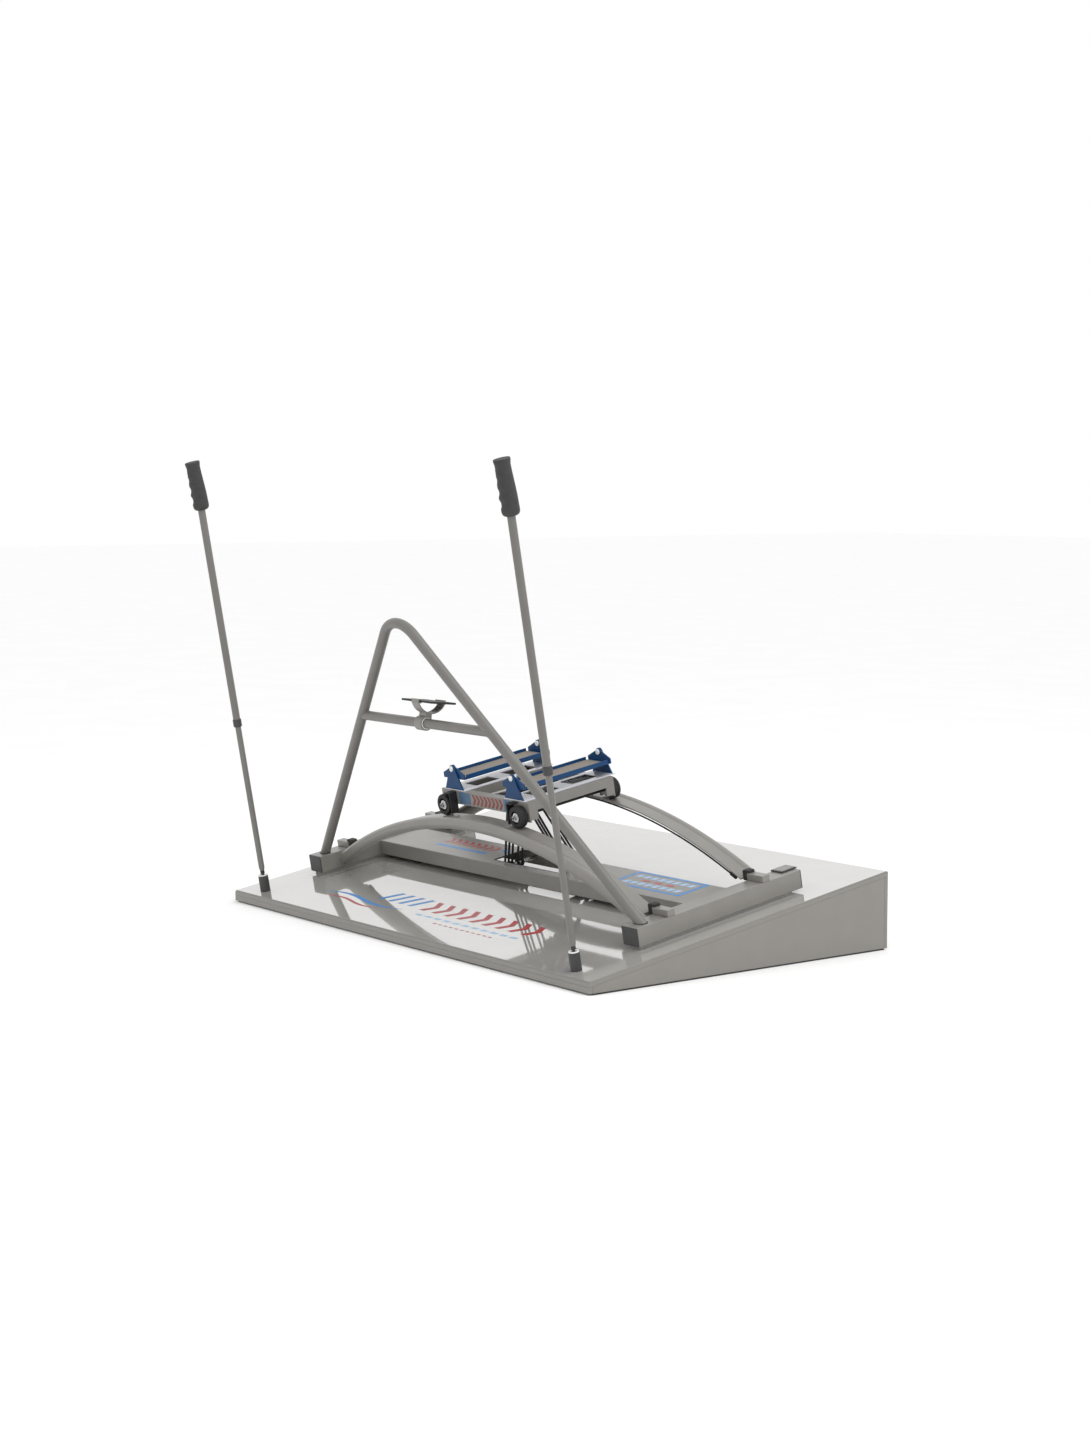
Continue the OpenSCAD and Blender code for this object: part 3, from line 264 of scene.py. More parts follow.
surfaces = {key: grainedSurface(look) for key, look in looks.items()}

# Braided polyester over latex: black, with paler crossing threads, coarser than real so that they show
braid = {"name": "polyesterBraidBlack", "colour": "#111111", "thread": "#262627", "roughness": 0.7,
         "pitchMm": 1.6, "turn": 35, "reliefMm": 0.3, "reliefStrength": 0.8,
         "wavePitch": 0.31}  # pitch of the wave texture at scale 1


def braidedSurface(look):
    material, tree, shader = startMaterial(look)
    place = addNode(tree, "TexCoord").outputs["UV"]  # the bands' UVs are in millimetres
    strands = []
    for turn in (1, -1):
        turned = addNode(tree, "Mapping", {"Rotation": (0, 0, turn * math.radians(look["turn"]))},
                         {"Vector": place})
        wave = addNode(tree, "TexWave",
                       {"wave_type": "BANDS", "Scale": look["wavePitch"] / look["pitchMm"]},
                       {"Vector": turned.outputs[0]})
        strands.append(wave.outputs[1])
    crossed = addNode(tree, "Math", {"operation": "MAXIMUM"}, {0: strands[0], 1: strands[1]})
    tint = addNode(tree, "Mix", {"data_type": "RGBA", 6: linearColour(look["colour"]),
                                 7: linearColour(look["thread"])}, {0: crossed.outputs[0]})
    relief = addNode(tree, "Bump", {"Strength": look["reliefStrength"], "Distance": look["reliefMm"] * mm},
                     {"Height": crossed.outputs[0]})
    tree.links.new(tint.outputs[2], shader.inputs["Base Color"])
    tree.links.new(relief.outputs[0], shader.inputs["Normal"])
    return material


surfaces["bandBraid"] = braidedSurface(braid)
print("materials made:", len(surfaces))


# What every mesh gets unless its piece asks for another value; angles are in degrees
finish = {"smoothAngle": 32, "tubeAngle": 60, "bevelAngle": 38, "mergeDistance": 2e-6,
          "flatAngle": 0.6}


def finishMesh(shape, name, matrix, smoothAngle=finish["smoothAngle"]):
    bmesh.ops.recalc_face_normals(shape, faces=shape.faces)
    mesh = bpy.data.meshes.new(name)
    shape.to_mesh(mesh)
    shape.free()
    mesh.transform(matrix)
    for polygon in mesh.polygons:
        polygon.use_smooth = True
    mesh.set_sharp_from_angle(angle=math.radians(smoothAngle))
    return mesh


def addPiece(name, mesh, body, surface, slotName, bevelMm=0.0, bevelSteps=2, replaced=()):
    piece = bpy.data.objects.new(name, mesh)
    bpy.context.scene.collection.objects.link(piece)
    mesh.materials.clear()
    mesh.materials.append(surfaces[surface])
    if bevelMm:
        bevel = piece.modifiers.new("edges", "BEVEL")
        bevel.width = bevelMm * mm
        bevel.segments = bevelSteps
        bevel.limit_method = "ANGLE"
        bevel.angle_limit = math.radians(finish["bevelAngle"])
        bevel.miter_outer = "MITER_ARC"
        piece.modifiers.new("shading", "WEIGHTED_NORMAL").keep_sharp = True
    if body:
        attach(piece, body)
    if replaced:
        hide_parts(*replaced)
    return piece


def makePiece(name, shape, body, surface, slotName, matrix=toWorld,
              smoothAngle=finish["smoothAngle"], **rest):
    return addPiece(name, finishMesh(shape, name, matrix, smoothAngle), body, surface, slotName, **rest)


# A copy of a CAD node with merged faces, rounded edges and its finish; it stands for the node
def dressNode(nodeName, surface, slotName, bevelMm, bevelSteps=2):
    shape = bmesh.new()
    shape.from_mesh(nodes[nodeName].data)
    bmesh.ops.remove_doubles(shape, verts=shape.verts, dist=finish["mergeDistance"])
    bmesh.ops.dissolve_limit(shape, angle_limit=math.radians(finish["flatAngle"]), verts=shape.verts,
                             edges=shape.edges)
    return makePiece(nodeName + "_dressed", shape, nodes[nodeName]["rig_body"], surface, slotName,
                     matrix=Matrix.Identity(4), bevelMm=bevelMm, bevelSteps=bevelSteps,
                     replaced=(nodeName,))


# Tube along a line of points; its UVs are millimetres round and along
def sweepTube(points, radius, sides=12, closed=False, shape=None):
    shape = shape or bmesh.new()
    uvLayer = shape.loops.layers.uv.verify()
    count = len(points)
    rings, lengths, side = [], [0.0], None
    for i, point in enumerate(points):
        ahead = points[(i + 1) % count] if closed or i < count - 1 else point
        behind = points[i - 1] if closed or i > 0 else point
        direction = (ahead - behind).normalized()
        side = side or direction.orthogonal().normalized()
        side = (side - direction * side.dot(direction)).normalized()
        up = direction.cross(side)
        size = radius[i] if isinstance(radius, (list, tuple)) else radius
        rings.append([shape.verts.new(point + (side * math.cos(a) + up * math.sin(a)) * size)
                      for a in (2 * math.pi * k / sides for k in range(sides))])
        lengths.append(lengths[-1] + (ahead - point).length)
    around = 2 * math.pi * (max(radius) if isinstance(radius, (list, tuple)) else radius)
    for i in range(count if closed else count - 1):
        here, there = rings[i], rings[(i + 1) % count]
        for k in range(sides):
            face = shape.faces.new((here[k], here[(k + 1) % sides], there[(k + 1) % sides], there[k]))
            for loop, u, v in zip(face.loops, (k, k + 1, k + 1, k), (i, i, i + 1, i + 1)):
                loop[uvLayer].uv = (u / sides * around, lengths[v])
    if not closed:
        shape.faces.new(list(reversed(rings[0])))
        shape.faces.new(rings[-1])
    return shape


# A box between two opposite corners
def addSlab(shape, low, high):
    for vert in bmesh.ops.create_cube(shape, size=1.0)["verts"]:
        vert.co = Vector([low[i] + (vert.co[i] + 0.5) * (high[i] - low[i]) for i in range(3)])


# Platform
platform = {"sheetBevel": 0.5, "boardBevel": 1.0, "joistBevel": 1.5, "stripBevel": 0.8, "faceUp": 0.9}
# The sheet's cut edges are matte; only its face is polished
sheet = dressNode("deck_sheet", "deckLaminate", "deck_gloss", platform["sheetBevel"])
sheet.data.materials.append(surfaces["boardPaint"])
for polygon in sheet.data.polygons:
    polygon.material_index = 0 if polygon.normal.z > platform["faceUp"] else 1
sheet.modifiers["edges"].material = 1
dressNode("deck_board", "boardPaint", "painted_board", platform["boardBevel"])
dressNode("skirts", "boardPaint", "painted_board", platform["boardBevel"])
dressNode("joists", "sawnSpruce", "joist_wood", platform["joistBevel"])
dressNode("floor_strips", "blockRubber", "foot_rubber", platform["stripBevel"])
print("platform dressed")

# Rails, caps and pads
rails = {"bevel": 2.4, "seatBevel": 0.8, "capBevel": 1.0, "inner": 754, "top": 62,
         "padInset": 5, "padPlate": 0.8, "padLow": (752, 775), "padHigh": (798, 831), "padHeight": 5,
         "padSink": 0.5, "padBevel": 0.8, "padPlateBevel": 0.3}
dressNode("rails", "framePaint", "frame_grey", rails["bevel"], 3)
dressNode("rail_seats", "padPvc", "pad_grey", rails["seatBevel"])
dressNode("rail_caps", "blackNylon", "cap_black", rails["capBevel"], 3)


# Each pad is a black body with a thin grey plate let into its top
def makePads():
    body, plate = bmesh.new(), bmesh.new()
    low, high, inset = rails["padLow"], rails["padHigh"], rails["padInset"]
    split = rails["top"] + rails["padHeight"] - rails["padPlate"]
    for side in (-1, 1):
        x0, x1 = sorted((side * low[0], side * high[0]))
        addSlab(body, (x0, low[1], rails["top"]), (x1, high[1], split))
        addSlab(plate, (x0 + inset, low[1] + inset, split - rails["padSink"]),
                (x1 - inset, high[1] - inset, rails["top"] + rails["padHeight"]))
    makePiece("rail_pad_bodies", body, "base", "blackNylon", "pad_grey", bevelMm=rails["padBevel"],
              replaced=("rail_pads",))
    makePiece("rail_pad_tops", plate, "base", "padPvc", "pad_grey", bevelMm=rails["padPlateBevel"])


makePads()
print("rails dressed")

# Arches with their strips and rods
arches = {"radius": 1581.94, "axisHeight": -1354.94, "tube": 18, "frontY": 322, "rearY": 733.5,
          "tubeBevel": 0.5, "stripBevel": 1.0, "rodBevel": 0.4, "blockBevel": 1.6, "bufferBevel": 1.2,
          "bead": 2.0, "beadSteps": 60, "beadGap": 0.6}
for nodeName in ("arch_front", "arch_rear"):
    dressNode(nodeName, "framePaint", "frame_grey", arches["tubeBevel"])
dressNode("track_strips", "framePaint", "frame_grey", arches["stripBevel"])
dressNode("guide_rods", "blackSteel", "dark_steel", arches["rodBevel"])
dressNode("bump_blocks", "framePaint", "frame_grey", arches["blockBevel"], 3)
dressNode("buffers", "blockRubber", "buffer_rubber", arches["bufferBevel"], 3)

# Weld beads: rounds where tubes meet, with a ripple every few steps
weld = {"ripple": 0.1, "rippleSteps": 3.0, "sides": 8}


def rippled(count, radius):
    return [radius * (1 + weld["ripple"] * math.sin(2 * math.pi * k / weld["rippleSteps"]))
            for k in range(count)]


def makeArchWelds():
    shape = bmesh.new()
    steps = arches["beadSteps"]
    for archY in (arches["frontY"], arches["rearY"]):
        for side in (-1, 1):
            points = []
            for k in range(steps):
                angle = 2 * math.pi * k / steps
                reach = arches["radius"] + arches["tube"] * math.cos(angle)
                h = arches["axisHeight"] + math.sqrt(reach ** 2 - rails["inner"] ** 2)
                x = side * (rails["inner"] - arches["beadGap"])
                points.append(Vector((x, archY + arches["tube"] * math.sin(angle), h)))
            sweepTube(points, rippled(steps, arches["bead"]), weld["sides"], True, shape)
    makePiece("arch_welds", shape, "base", "framePaint", "frame_grey", smoothAngle=finish["tubeAngle"])


makeArchWelds()
print("arches dressed")

# Band box, and a dark rubber edging round its opening as painted shade for the shaded inner walls of the
# slot
box = {"bevel": 1.5, "rollerBevel": 0.5, "top": 57, "wall": 3, "slot": (-175, 152, 491.25, 606.25),
       "shadeEdging": 2.2, "shadeEdgingSides": 10, "corner": 5, "cornerSteps": 6}
dressNode("band_box", "framePaint", "frame_grey", box["bevel"], 3)
dressNode("band_rollers", "zincPlate", "dark_steel", box["rollerBevel"])


# Dark ring round the slot's rim: painted shade where the slot's inner walls fall in shadow
def makeSlotShadeEdging():
    x0, x1, y0, y1 = box["slot"]
    corner, steps = box["corner"], box["cornerSteps"]
    points = []
    for cx, cy, start in ((x1 - corner, y1 - corner, 0), (x0 + corner, y1 - corner, 90),
                          (x0 + corner, y0 + corner, 180), (x1 - corner, y0 + corner, 270)):
        for k in range(steps + 1):
            angle = math.radians(start + 90 * k / steps)
            points.append(Vector((cx + corner * math.cos(angle), cy + corner * math.sin(angle),
                                  box["top"] - box["wall"] / 2)))
    makePiece("slot_shadeEdging", sweepTube(points, box["shadeEdging"], box["shadeEdgingSides"], True), "base",
              "blockRubber", "buffer_rubber", smoothAngle=finish["tubeAngle"])


makeSlotShadeEdging()

# Elastic bands: braided cords from rollers to bars, each with a loop at both ends
bands = {"radius": 3.5, "sides": 14, "steps": 48, "gap": 1, "middleY": 527.75,
         "barRadius": 5, "rollerRadius": 6, "barHeight": 268, "rollerHeight": 38,
         "loopShare": 0.92, "loopSides": 12, "loopSteps": 28, "loopGap": 0.1, "loopTwist": 0.4,
         "left": {"roller": -130, "bar": -60,
                  "ends": ((498, 497), (511, 510), (524, 524), (549, 544), (566, 560))},
         "right": {"roller": 150, "bar": 8,
                   "ends": ((498, 524), (508, 533), (518, 542), (540, 578), (552, 588))}}


# A cord's end, laid once round a bar or roller of this radius
def makeLoop(shape, centre, barRadius):
    count = bands["loopSteps"]
    radius = barRadius + bands["radius"] + bands["loopGap"]
    points = []
    for k in range(count):
        angle = 2 * math.pi * k / count
        points.append(Vector((centre.x + radius * math.cos(angle),
                              centre.y + bands["loopTwist"] * math.sin(angle),
                              centre.z + radius * math.sin(angle))))
    sweepTube(points, bands["radius"] * bands["loopShare"], bands["loopSides"], True, shape)


def makeBands():
    cords, barLoops, rollerLoops = bmesh.new(), bmesh.new(), bmesh.new()
    for side in ("left", "right"):
        for topY, lowY in bands[side]["ends"]:
            low = Vector((bands[side]["roller"], lowY, bands["rollerHeight"]))
            top = Vector((bands[side]["bar"], topY, bands["barHeight"]))
            way = (top - low).normalized()
            start = low + way * (bands["rollerRadius"] + bands["gap"])
            end = top - way * (bands["barRadius"] + bands["gap"])
            points = [start.lerp(end, k / bands["steps"]) for k in range(bands["steps"] + 1)]
            sweepTube(points, bands["radius"], bands["sides"], False, cords)
            makeLoop(barLoops, top, bands["barRadius"])
            makeLoop(rollerLoops, low, bands["rollerRadius"])
    smooth = finish["tubeAngle"]
    straight = makePiece("band_cords", cords, None, "bandBraid", "band_rubber", smoothAngle=smooth,
                         replaced=("bands",))
    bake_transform(straight)
    makePiece("band_loops_top", barLoops, "carriage", "bandBraid", "band_rubber", smoothAngle=smooth)
    makePiece("band_loops_low", rollerLoops, "base", "bandBraid", "band_rubber", smoothAngle=smooth)


makeBands()
print("band box and bands made")

# Handrail: bent tube, crossbar, welds, and dark rubber rings at the feet as painted shade for the seam on
# the rails
handrail = {"footX": 786.5, "footY": 276, "footHeight": 62, "apexY": 158, "apexHeight": 907, "tube": 15,
            "tubeBevel": 0.4, "crossShare": 0.59, "crossTube": 14, "crossBevel": 0.0,
            "bead": 1.8, "beadSteps": 48, "shadeRing": 1.4, "shadeRingLift": 0.7}
dressNode("handrail", "tubePaint", "frame_grey", handrail["tubeBevel"])
dressNode("crossbar", "tubePaint", "frame_grey", handrail["crossBevel"])
handRise = handrail["apexHeight"] - handrail["footHeight"]
handRun = handrail["footY"] - handrail["apexY"]
handLength = math.hypot(handRise, handRun)
handUp = Vector((0, -handRun, handRise)) / handLength
handOut = Vector((0, handRise, handRun)) / handLength


# Beads where the crossbar meets the legs, and dark rings where the legs meet the rails: painted shade for
# the seam at each foot
def makeHandrailWelds():
    beads, shadeRings = bmesh.new(), bmesh.new()
    steps = handrail["beadSteps"]
    legAngle = math.atan2(handLength, handrail["footX"])
    crossUp = handrail["crossShare"] * handLength
    foot = Vector((0, handrail["footY"], handrail["footHeight"]))
    for side in (-1, 1):
        along = Vector((-side * math.cos(legAngle), 0, 0)) + handUp * math.sin(legAngle)
        points = []
        for k in range(steps):
            angle = 2 * math.pi * k / steps
            out = handrail["crossTube"] * math.cos(angle)
            up = crossUp + handrail["crossTube"] * math.sin(angle)
            inward = math.sqrt(handrail["tube"] ** 2 - out ** 2) / math.sin(legAngle)
            x = side * (handrail["footX"] * (1 - up / handLength) - inward)
            points.append(foot + Vector((x, 0, 0)) + handUp * up + handOut * out)
        sweepTube(points, rippled(steps, handrail["bead"]), weld["sides"], True, beads)
        # Dark rubber ring round each foot: a painted shade for the shadowed seam between leg and rail
        across = along.cross(handOut)
        points = []
        for k in range(steps):
            angle = 2 * math.pi * k / steps
            ring = (handOut * math.cos(angle) + across * math.sin(angle)) * handrail["tube"]
            ring -= along * (ring.z / along.z)
            points.append(foot + Vector((side * handrail["footX"], 0, handrail["shadeRingLift"])) + ring)
        sweepTube(points, handrail["shadeRing"], weld["sides"], True, shadeRings)
    makePiece("handrail_welds", beads, "base", "tubePaint", "frame_grey",
              smoothAngle=finish["tubeAngle"])
    makePiece("foot_shadeRings", shadeRings, "base", "blockRubber", "buffer_rubber",
              smoothAngle=finish["tubeAngle"])


makeHandrailWelds()
print("handrail dressed")

# Bracket on the crossbar
bracket = {"x": -5, "halfWidth": 17, "clampBevel": 1.2, "boltBevel": 0.5, "yokeBevel": 0.9,
           "plateBevel": 1.8, "liner": 15.4, "linerTube": 1.4, "linerSteps": 60, "linerSides": 8}
dressNode("bracket_clamp", "framePaint", "frame_grey", bracket["clampBevel"], 3)
dressNode("clamp_bolt", "zincPlate", "zinc", bracket["boltBevel"])
dressNode("bracket_yoke", "framePaint", "frame_grey", bracket["yokeBevel"], 3)
dressNode("bracket_plate", "wheelNylon", "dark_steel", bracket["plateBevel"], 4)


# White plastic liner, seen as a ring at each side of the clamp
def makeLiner():
    centre = (Vector((bracket["x"], handrail["footY"], handrail["footHeight"]))
              + handUp * handrail["crossShare"] * handLength)
    shape = bmesh.new()
    steps = bracket["linerSteps"]
    for side in (-1, 1):
        points = [centre + Vector((side * bracket["halfWidth"], bracket["liner"] * math.cos(a),
                                   bracket["liner"] * math.sin(a)))
                  for a in (2 * math.pi * k / steps for k in range(steps))]
        sweepTube(points, bracket["linerTube"], bracket["linerSides"], True, shape)
    makePiece("clamp_liner", shape, "bracket", "whiteAcetal", "ring_white",
              smoothAngle=finish["tubeAngle"])


makeLiner()
print("bracket dressed")

# Carriage: widths of the rounded edges on folded sheet, plates, turned bars and small turned pieces
carriage = {"sheetBevel": 0.8, "plateBevel": 0.6, "barBevel": 0.6, "smallBevel": 0.5}
for nodeName, surface, slotName, bevel in (
        ("carriage_beams", "framePaint", "frame_grey", "sheetBevel"),
        ("carriage_channels", "framePaint", "frame_grey", "sheetBevel"),
        # Top plates: white paint with a painted reflection of the sky in its colour
        ("top_plates", "plateSkyReflectionPaint", "frame_light", "plateBevel"),
        ("uprights", "bluePaint", "blue_paint", "sheetBevel"),
        ("axles", "blackSteel", "dark_steel", "barBevel"),
        ("axle_nuts", "zincPlate", "zinc", "smallBevel"),
        ("wheel_brackets", "blackSteel", "dark_steel", "sheetBevel"),
        ("band_bars", "blackSteel", "dark_steel", "smallBevel"),
        ("pivot_pins", "whiteAcetal", "pin_white", "smallBevel")):
    dressNode(nodeName, surface, slotName, carriage[bevel])
for side in ("left", "right"):
    dressNode("footplate_" + side, "bluePaint", "blue_paint", carriage["sheetBevel"])
    dressNode("tread_" + side, "gritSheet", "tread_grip", carriage["smallBevel"])
print("carriage dressed")

# Wheels: treaded tyres on black bodies with silver middles
wheel = {"x": 180, "height": 264.33, "front": 357, "rear": 698.5, "radius": 32, "rim": 21.12, "half": 12,
         "blocks": 30, "blockSteps": 4, "groove": 1.2, "hubBevel": 0.4, "plate": 13.6, "plateHalf": 9.9,
         "sharpAngle": 28}


# A turned section round the axle; the last step of each block is a groove across the tread
def makeTyre(name, body, matrix):
    shape = bmesh.new()
    r, rim, half = wheel["radius"], wheel["rim"], wheel["half"]
    # One half of the section as (radius, place across, share of the groove's depth)
    section = [(rim, -half + 0.6, 0), (rim + 0.8, -half, 0),  # edge on the rim
               (r - 6.4, -half, 0), (r - 6.0, -half + 0.5, 0),  # line round the side wall
               (r - 5.2, -half + 0.5, 0), (r - 4.8, -half, 0),
               (r - 3.2, -half + 0.1, 0), (r - 1.2, -half + 1.6, 1), (r - 0.3, -half + 3.6, 1),  # shoulder
               (r, -half + 6, 1), (r, -1.2, 1), (r - 1.3, -0.9, 0)]  # tread, and its groove in the middle
    section += [(radius, -across, share) for radius, across, share in reversed(section)]
    blockSteps = wheel["blockSteps"]
    steps = wheel["blocks"] * blockSteps
    rings = []
    for k in range(steps):
        angle = 2 * math.pi * k / steps
        grooved = wheel["groove"] if k % blockSteps == blockSteps - 1 else 0
        rings.append([shape.verts.new(((radius - grooved * share) * math.cos(angle),
                                       (radius - grooved * share) * math.sin(angle), across))
                      for radius, across, share in section])
    for k in range(steps):
        here, there = rings[k], rings[(k + 1) % steps]
        for i in range(len(section)):
            j = (i + 1) % len(section)
            shape.faces.new((here[i], here[j], there[j], there[i]))
    makePiece("tread_" + name, shape, body, "tyreRubber", "tyre_black", matrix=matrix,
              smoothAngle=wheel["sharpAngle"], replaced=("tyre_" + name,))


# Black wheel body; its middle plate with the five studs is lacquered silver
def makeHub(name, matrix):
    hub = dressNode("hub_" + name, "wheelNylon", "cap_black", wheel["hubBevel"])
    hub.data.materials.append(surfaces["hubLacquer"])
    toWheel = matrix.inverted()
    for polygon in hub.data.polygons:
        corners = [toWheel @ hub.data.vertices[v].co for v in polygon.vertices]
        if all(math.hypot(c.x, c.y) < wheel["plate"] and abs(c.z) > wheel["plateHalf"]
               for c in corners):
            polygon.material_index = 1


for end in ("front", "rear"):
    for side, sign in (("left", -1), ("right", 1)):
        name = end + "_" + side
        place = (toWorld @ Matrix.Translation((sign * wheel["x"], wheel[end], wheel["height"]))
                 @ Matrix.Rotation(math.radians(90), 4, "X"))
        makeTyre(name, "wheel_" + name, place)
        makeHub(name, place)
print("wheels made")

# Poles
pole = {"x": 789, "y": 45, "holderBevel": 0.9, "ringBevel": 0.5, "ballBevel": 0.3, "tipBevel": 0.4,
        "tubeBevel": 0.3, "collarBevel": 0.4}
dressNode("pole_holders", "blackNylon", "cap_black", pole["holderBevel"], 3)
dressNode("holder_rings", "whiteAcetal", "ring_white", pole["ringBevel"])
for side in ("left", "right"):
    dressNode("ball_" + side, "turnedSteel", "ball_steel", pole["ballBevel"])
    dressNode("pole_tip_" + side, "tipNylon", "tip_black", pole["tipBevel"])
    dressNode("lower_tube_" + side, "tubePaint", "frame_grey", pole["tubeBevel"])
    dressNode("collar_" + side, "blackNylon", "cap_black", pole["collarBevel"])
    dressNode("upper_tube_" + side, "tubePaint", "frame_grey", pole["tubeBevel"])

# Handles; the body is (height over its lower end, radius), the top is (radius, drop under its edge)
grip = {"base": 1196.5, "length": 147, "topInset": 1, "bore": 11.2, "boreDepth": 126,
        "lean": 2.5, "back": 1.5, "slant": 3, "around": 80, "smoothAngle": 50,
        "firstRings": [0, 0.5, 1.2, 3], "ringStart": 5.2, "ringStep": 1.1, "rings": 126,
        "body": ((0, 14.3), (1, 17.2), (3, 20.1), (5.2, 21.8), (8, 22.9), (11, 23.6), (15, 24),
                 (50, 24), (75, 23), (109, 21.2), (130, 20.6), (135, 21.4), (140, 22.4), (150, 22.4)),
        "top": ((22.4, 1.4), (22.1, 0.5), (21.4, 0.05), (19.6, 0), (18.9, 0.5), (12.0, 0.8), (3.0, 0.9)),
        "grooves": 4, "grooveFirst": 32, "groovePitch": 31, "grooveRadius": 23, "grooveRing": 46,
        "grooveShift": 3, "softness": 1.2,
        "ribEvery": 4.4, "ribDepth": 0.35, "ribLow": 10, "ribHigh": 126, "ribFront": -0.25}


# Radius of the handle's body at a height over its lower end
def gripProfile(z):
    marks = grip["body"]
    for (z0, r0), (z1, r1) in zip(marks, marks[1:]):
        if z <= z1:
            return r0 + (r1 - r0) * (z - z0) / (z1 - z0)
    return marks[-1][1]


# The body with its round grooves cut in; the edges between them are softened
def gripRadius(z, angle):
    radius = gripProfile(z)
    for i in range(grip["grooves"]):
        off = z - grip["grooveFirst"] - i * grip["groovePitch"]
        if abs(off) < grip["grooveRadius"]:
            cut = grip["grooveRing"] - math.sqrt(grip["grooveRadius"] ** 2 - off ** 2)
            shift = grip["grooveShift"]
            reach = shift * math.sin(angle) + math.sqrt(cut ** 2 - (shift * math.cos(angle)) ** 2)
            soft = max(0.0, grip["softness"] - abs(radius - reach)) / grip["softness"]
            radius = min(radius, reach) - grip["softness"] * soft ** 2 / 4
    return radius


# A leaning handle with finger grooves in front and fine lines round its back
def makeGrip(side, sign):
    shape = bmesh.new()
    around = grip["around"]
    rings = []
    lean = Matrix.Translation((0, grip["back"], 0)) @ Matrix.Rotation(math.radians(grip["lean"]), 4, "X")
    slope = math.tan(math.radians(grip["slant"]))
    top = grip["length"] - grip["topInset"]
    angles = [2 * math.pi * k / around for k in range(around)]
    heights = grip["firstRings"] + [grip["ringStart"] + grip["ringStep"] * k for k in range(grip["rings"])]
    for z in heights:
        onRib = grip["ribLow"] < z < grip["ribHigh"] and z % grip["ribEvery"] < grip["ringStep"]
        ring = []
        for angle in angles:
            radius = gripRadius(z, angle)
            if onRib and math.sin(angle) > grip["ribFront"]:
                radius -= grip["ribDepth"]  # fine moulded lines round the back
            ring.append(shape.verts.new((radius * math.cos(angle), radius * math.sin(angle), z)))
        rings.append(ring)
    # Slanted top with a rounded rim and a shallow dish
    for radius, drop in grip["top"]:
        rings.append([shape.verts.new((radius * math.cos(a), radius * math.sin(a),
                                       top - drop + radius * math.sin(a) * slope)) for a in angles])
    for here, there in zip(rings, rings[1:]):
        for k in range(around):
            shape.faces.new((here[k], here[(k + 1) % around], there[(k + 1) % around], there[k]))
    shape.faces.new(rings[-1])
    # The bore stands upright in the leaning handle
    upright = lean.inverted()
    bore = grip["bore"]
    inner = [[shape.verts.new(upright @ Vector((bore * math.cos(a), bore * math.sin(a), z)))
              for a in angles] for z in (0.0, grip["boreDepth"])]
    for k in range(around):
        j = (k + 1) % around
        shape.faces.new((rings[0][j], rings[0][k], inner[0][k], inner[0][j]))
        shape.faces.new((inner[0][j], inner[0][k], inner[1][k], inner[1][j]))
    shape.faces.new(list(reversed(inner[1])))
    matrix = toWorld @ Matrix.Translation((sign * pole["x"], pole["y"], grip["base"])) @ lean
    makePiece("handle_" + side, shape, "pole_up_" + side, "gripRubber", "grip_rubber", matrix=matrix,
              smoothAngle=grip["smoothAngle"], replaced=("grip_" + side,))


for side, sign in (("left", -1), ("right", 1)):
    makeGrip(side, sign)
print("poles made")

# Prints: plain bars, waves and chevrons in blue, pale blue and red; the set on the deck is a painted
# reflection
prints = {"thickness": 0.12, "deckLevel": 0.06, "boxLevel": 57.06, "beamFace": 371.9, "beamLevel": 0.0,
          "sharpAngle": 20, "waveTip": 0.4}


# One patch of a flat print, from its outline as a list of (x, y)
def addPrint(shape, outline, level):
    low = [shape.verts.new((x, y, level)) for x, y in outline]
    high = [shape.verts.new((x, y, level + prints["thickness"])) for x, y in outline]
    shape.faces.new(list(reversed(low)))
    shape.faces.new(high)
    for i in range(len(outline)):
        j = (i + 1) % len(outline)
        shape.faces.new((low[i], low[j], high[j], high[i]))


# A row of bars whose upper edges are shifted by the lean
def barRow(x, y, width, height, lean=0, pitch=0, count=1):
    row = []
    for left in (x + pitch * k for k in range(count)):
        row.append([(left, y), (left + width, y), (left + width + lean, y + height),
                    (left + lean, y + height)])
    return row


# A row of arrowheads that point to the right
def chevronRow(x, y, width, height, thick, pitch, count):
    row = []
    for left in (x + pitch * k for k in range(count)):
        row.append([(left, y), (left + thick, y), (left + width + thick, y + height / 2),
                    (left + thick, y + height), (left, y + height), (left + width, y + height / 2)])
    return row


# A wave that swells in its middle and runs out to points
def waveBand(left, right, y, rise, thick, turns, steps):
    upper, lower = [], []
    for k in range(steps + 1):
        t = k / steps
        x = left + (right - left) * t
        middle = y + rise * math.sin(2 * math.pi * turns * t)
        half = max(prints["waveTip"], thick * math.sin(math.pi * t) / 2)
        upper.append((x, middle + half))
        lower.append((x, middle - half))
    return lower + list(reversed(upper))


def makePrint(name, ink, outlines, level, body="base", matrix=toWorld):
    shape = bmesh.new()
    for outline in outlines:
        addPrint(shape, outline, level)
    makePiece(name, shape, body, ink, "deck_gloss" if body == "base" else "frame_grey", matrix=matrix,
              smoothAngle=prints["sharpAngle"])


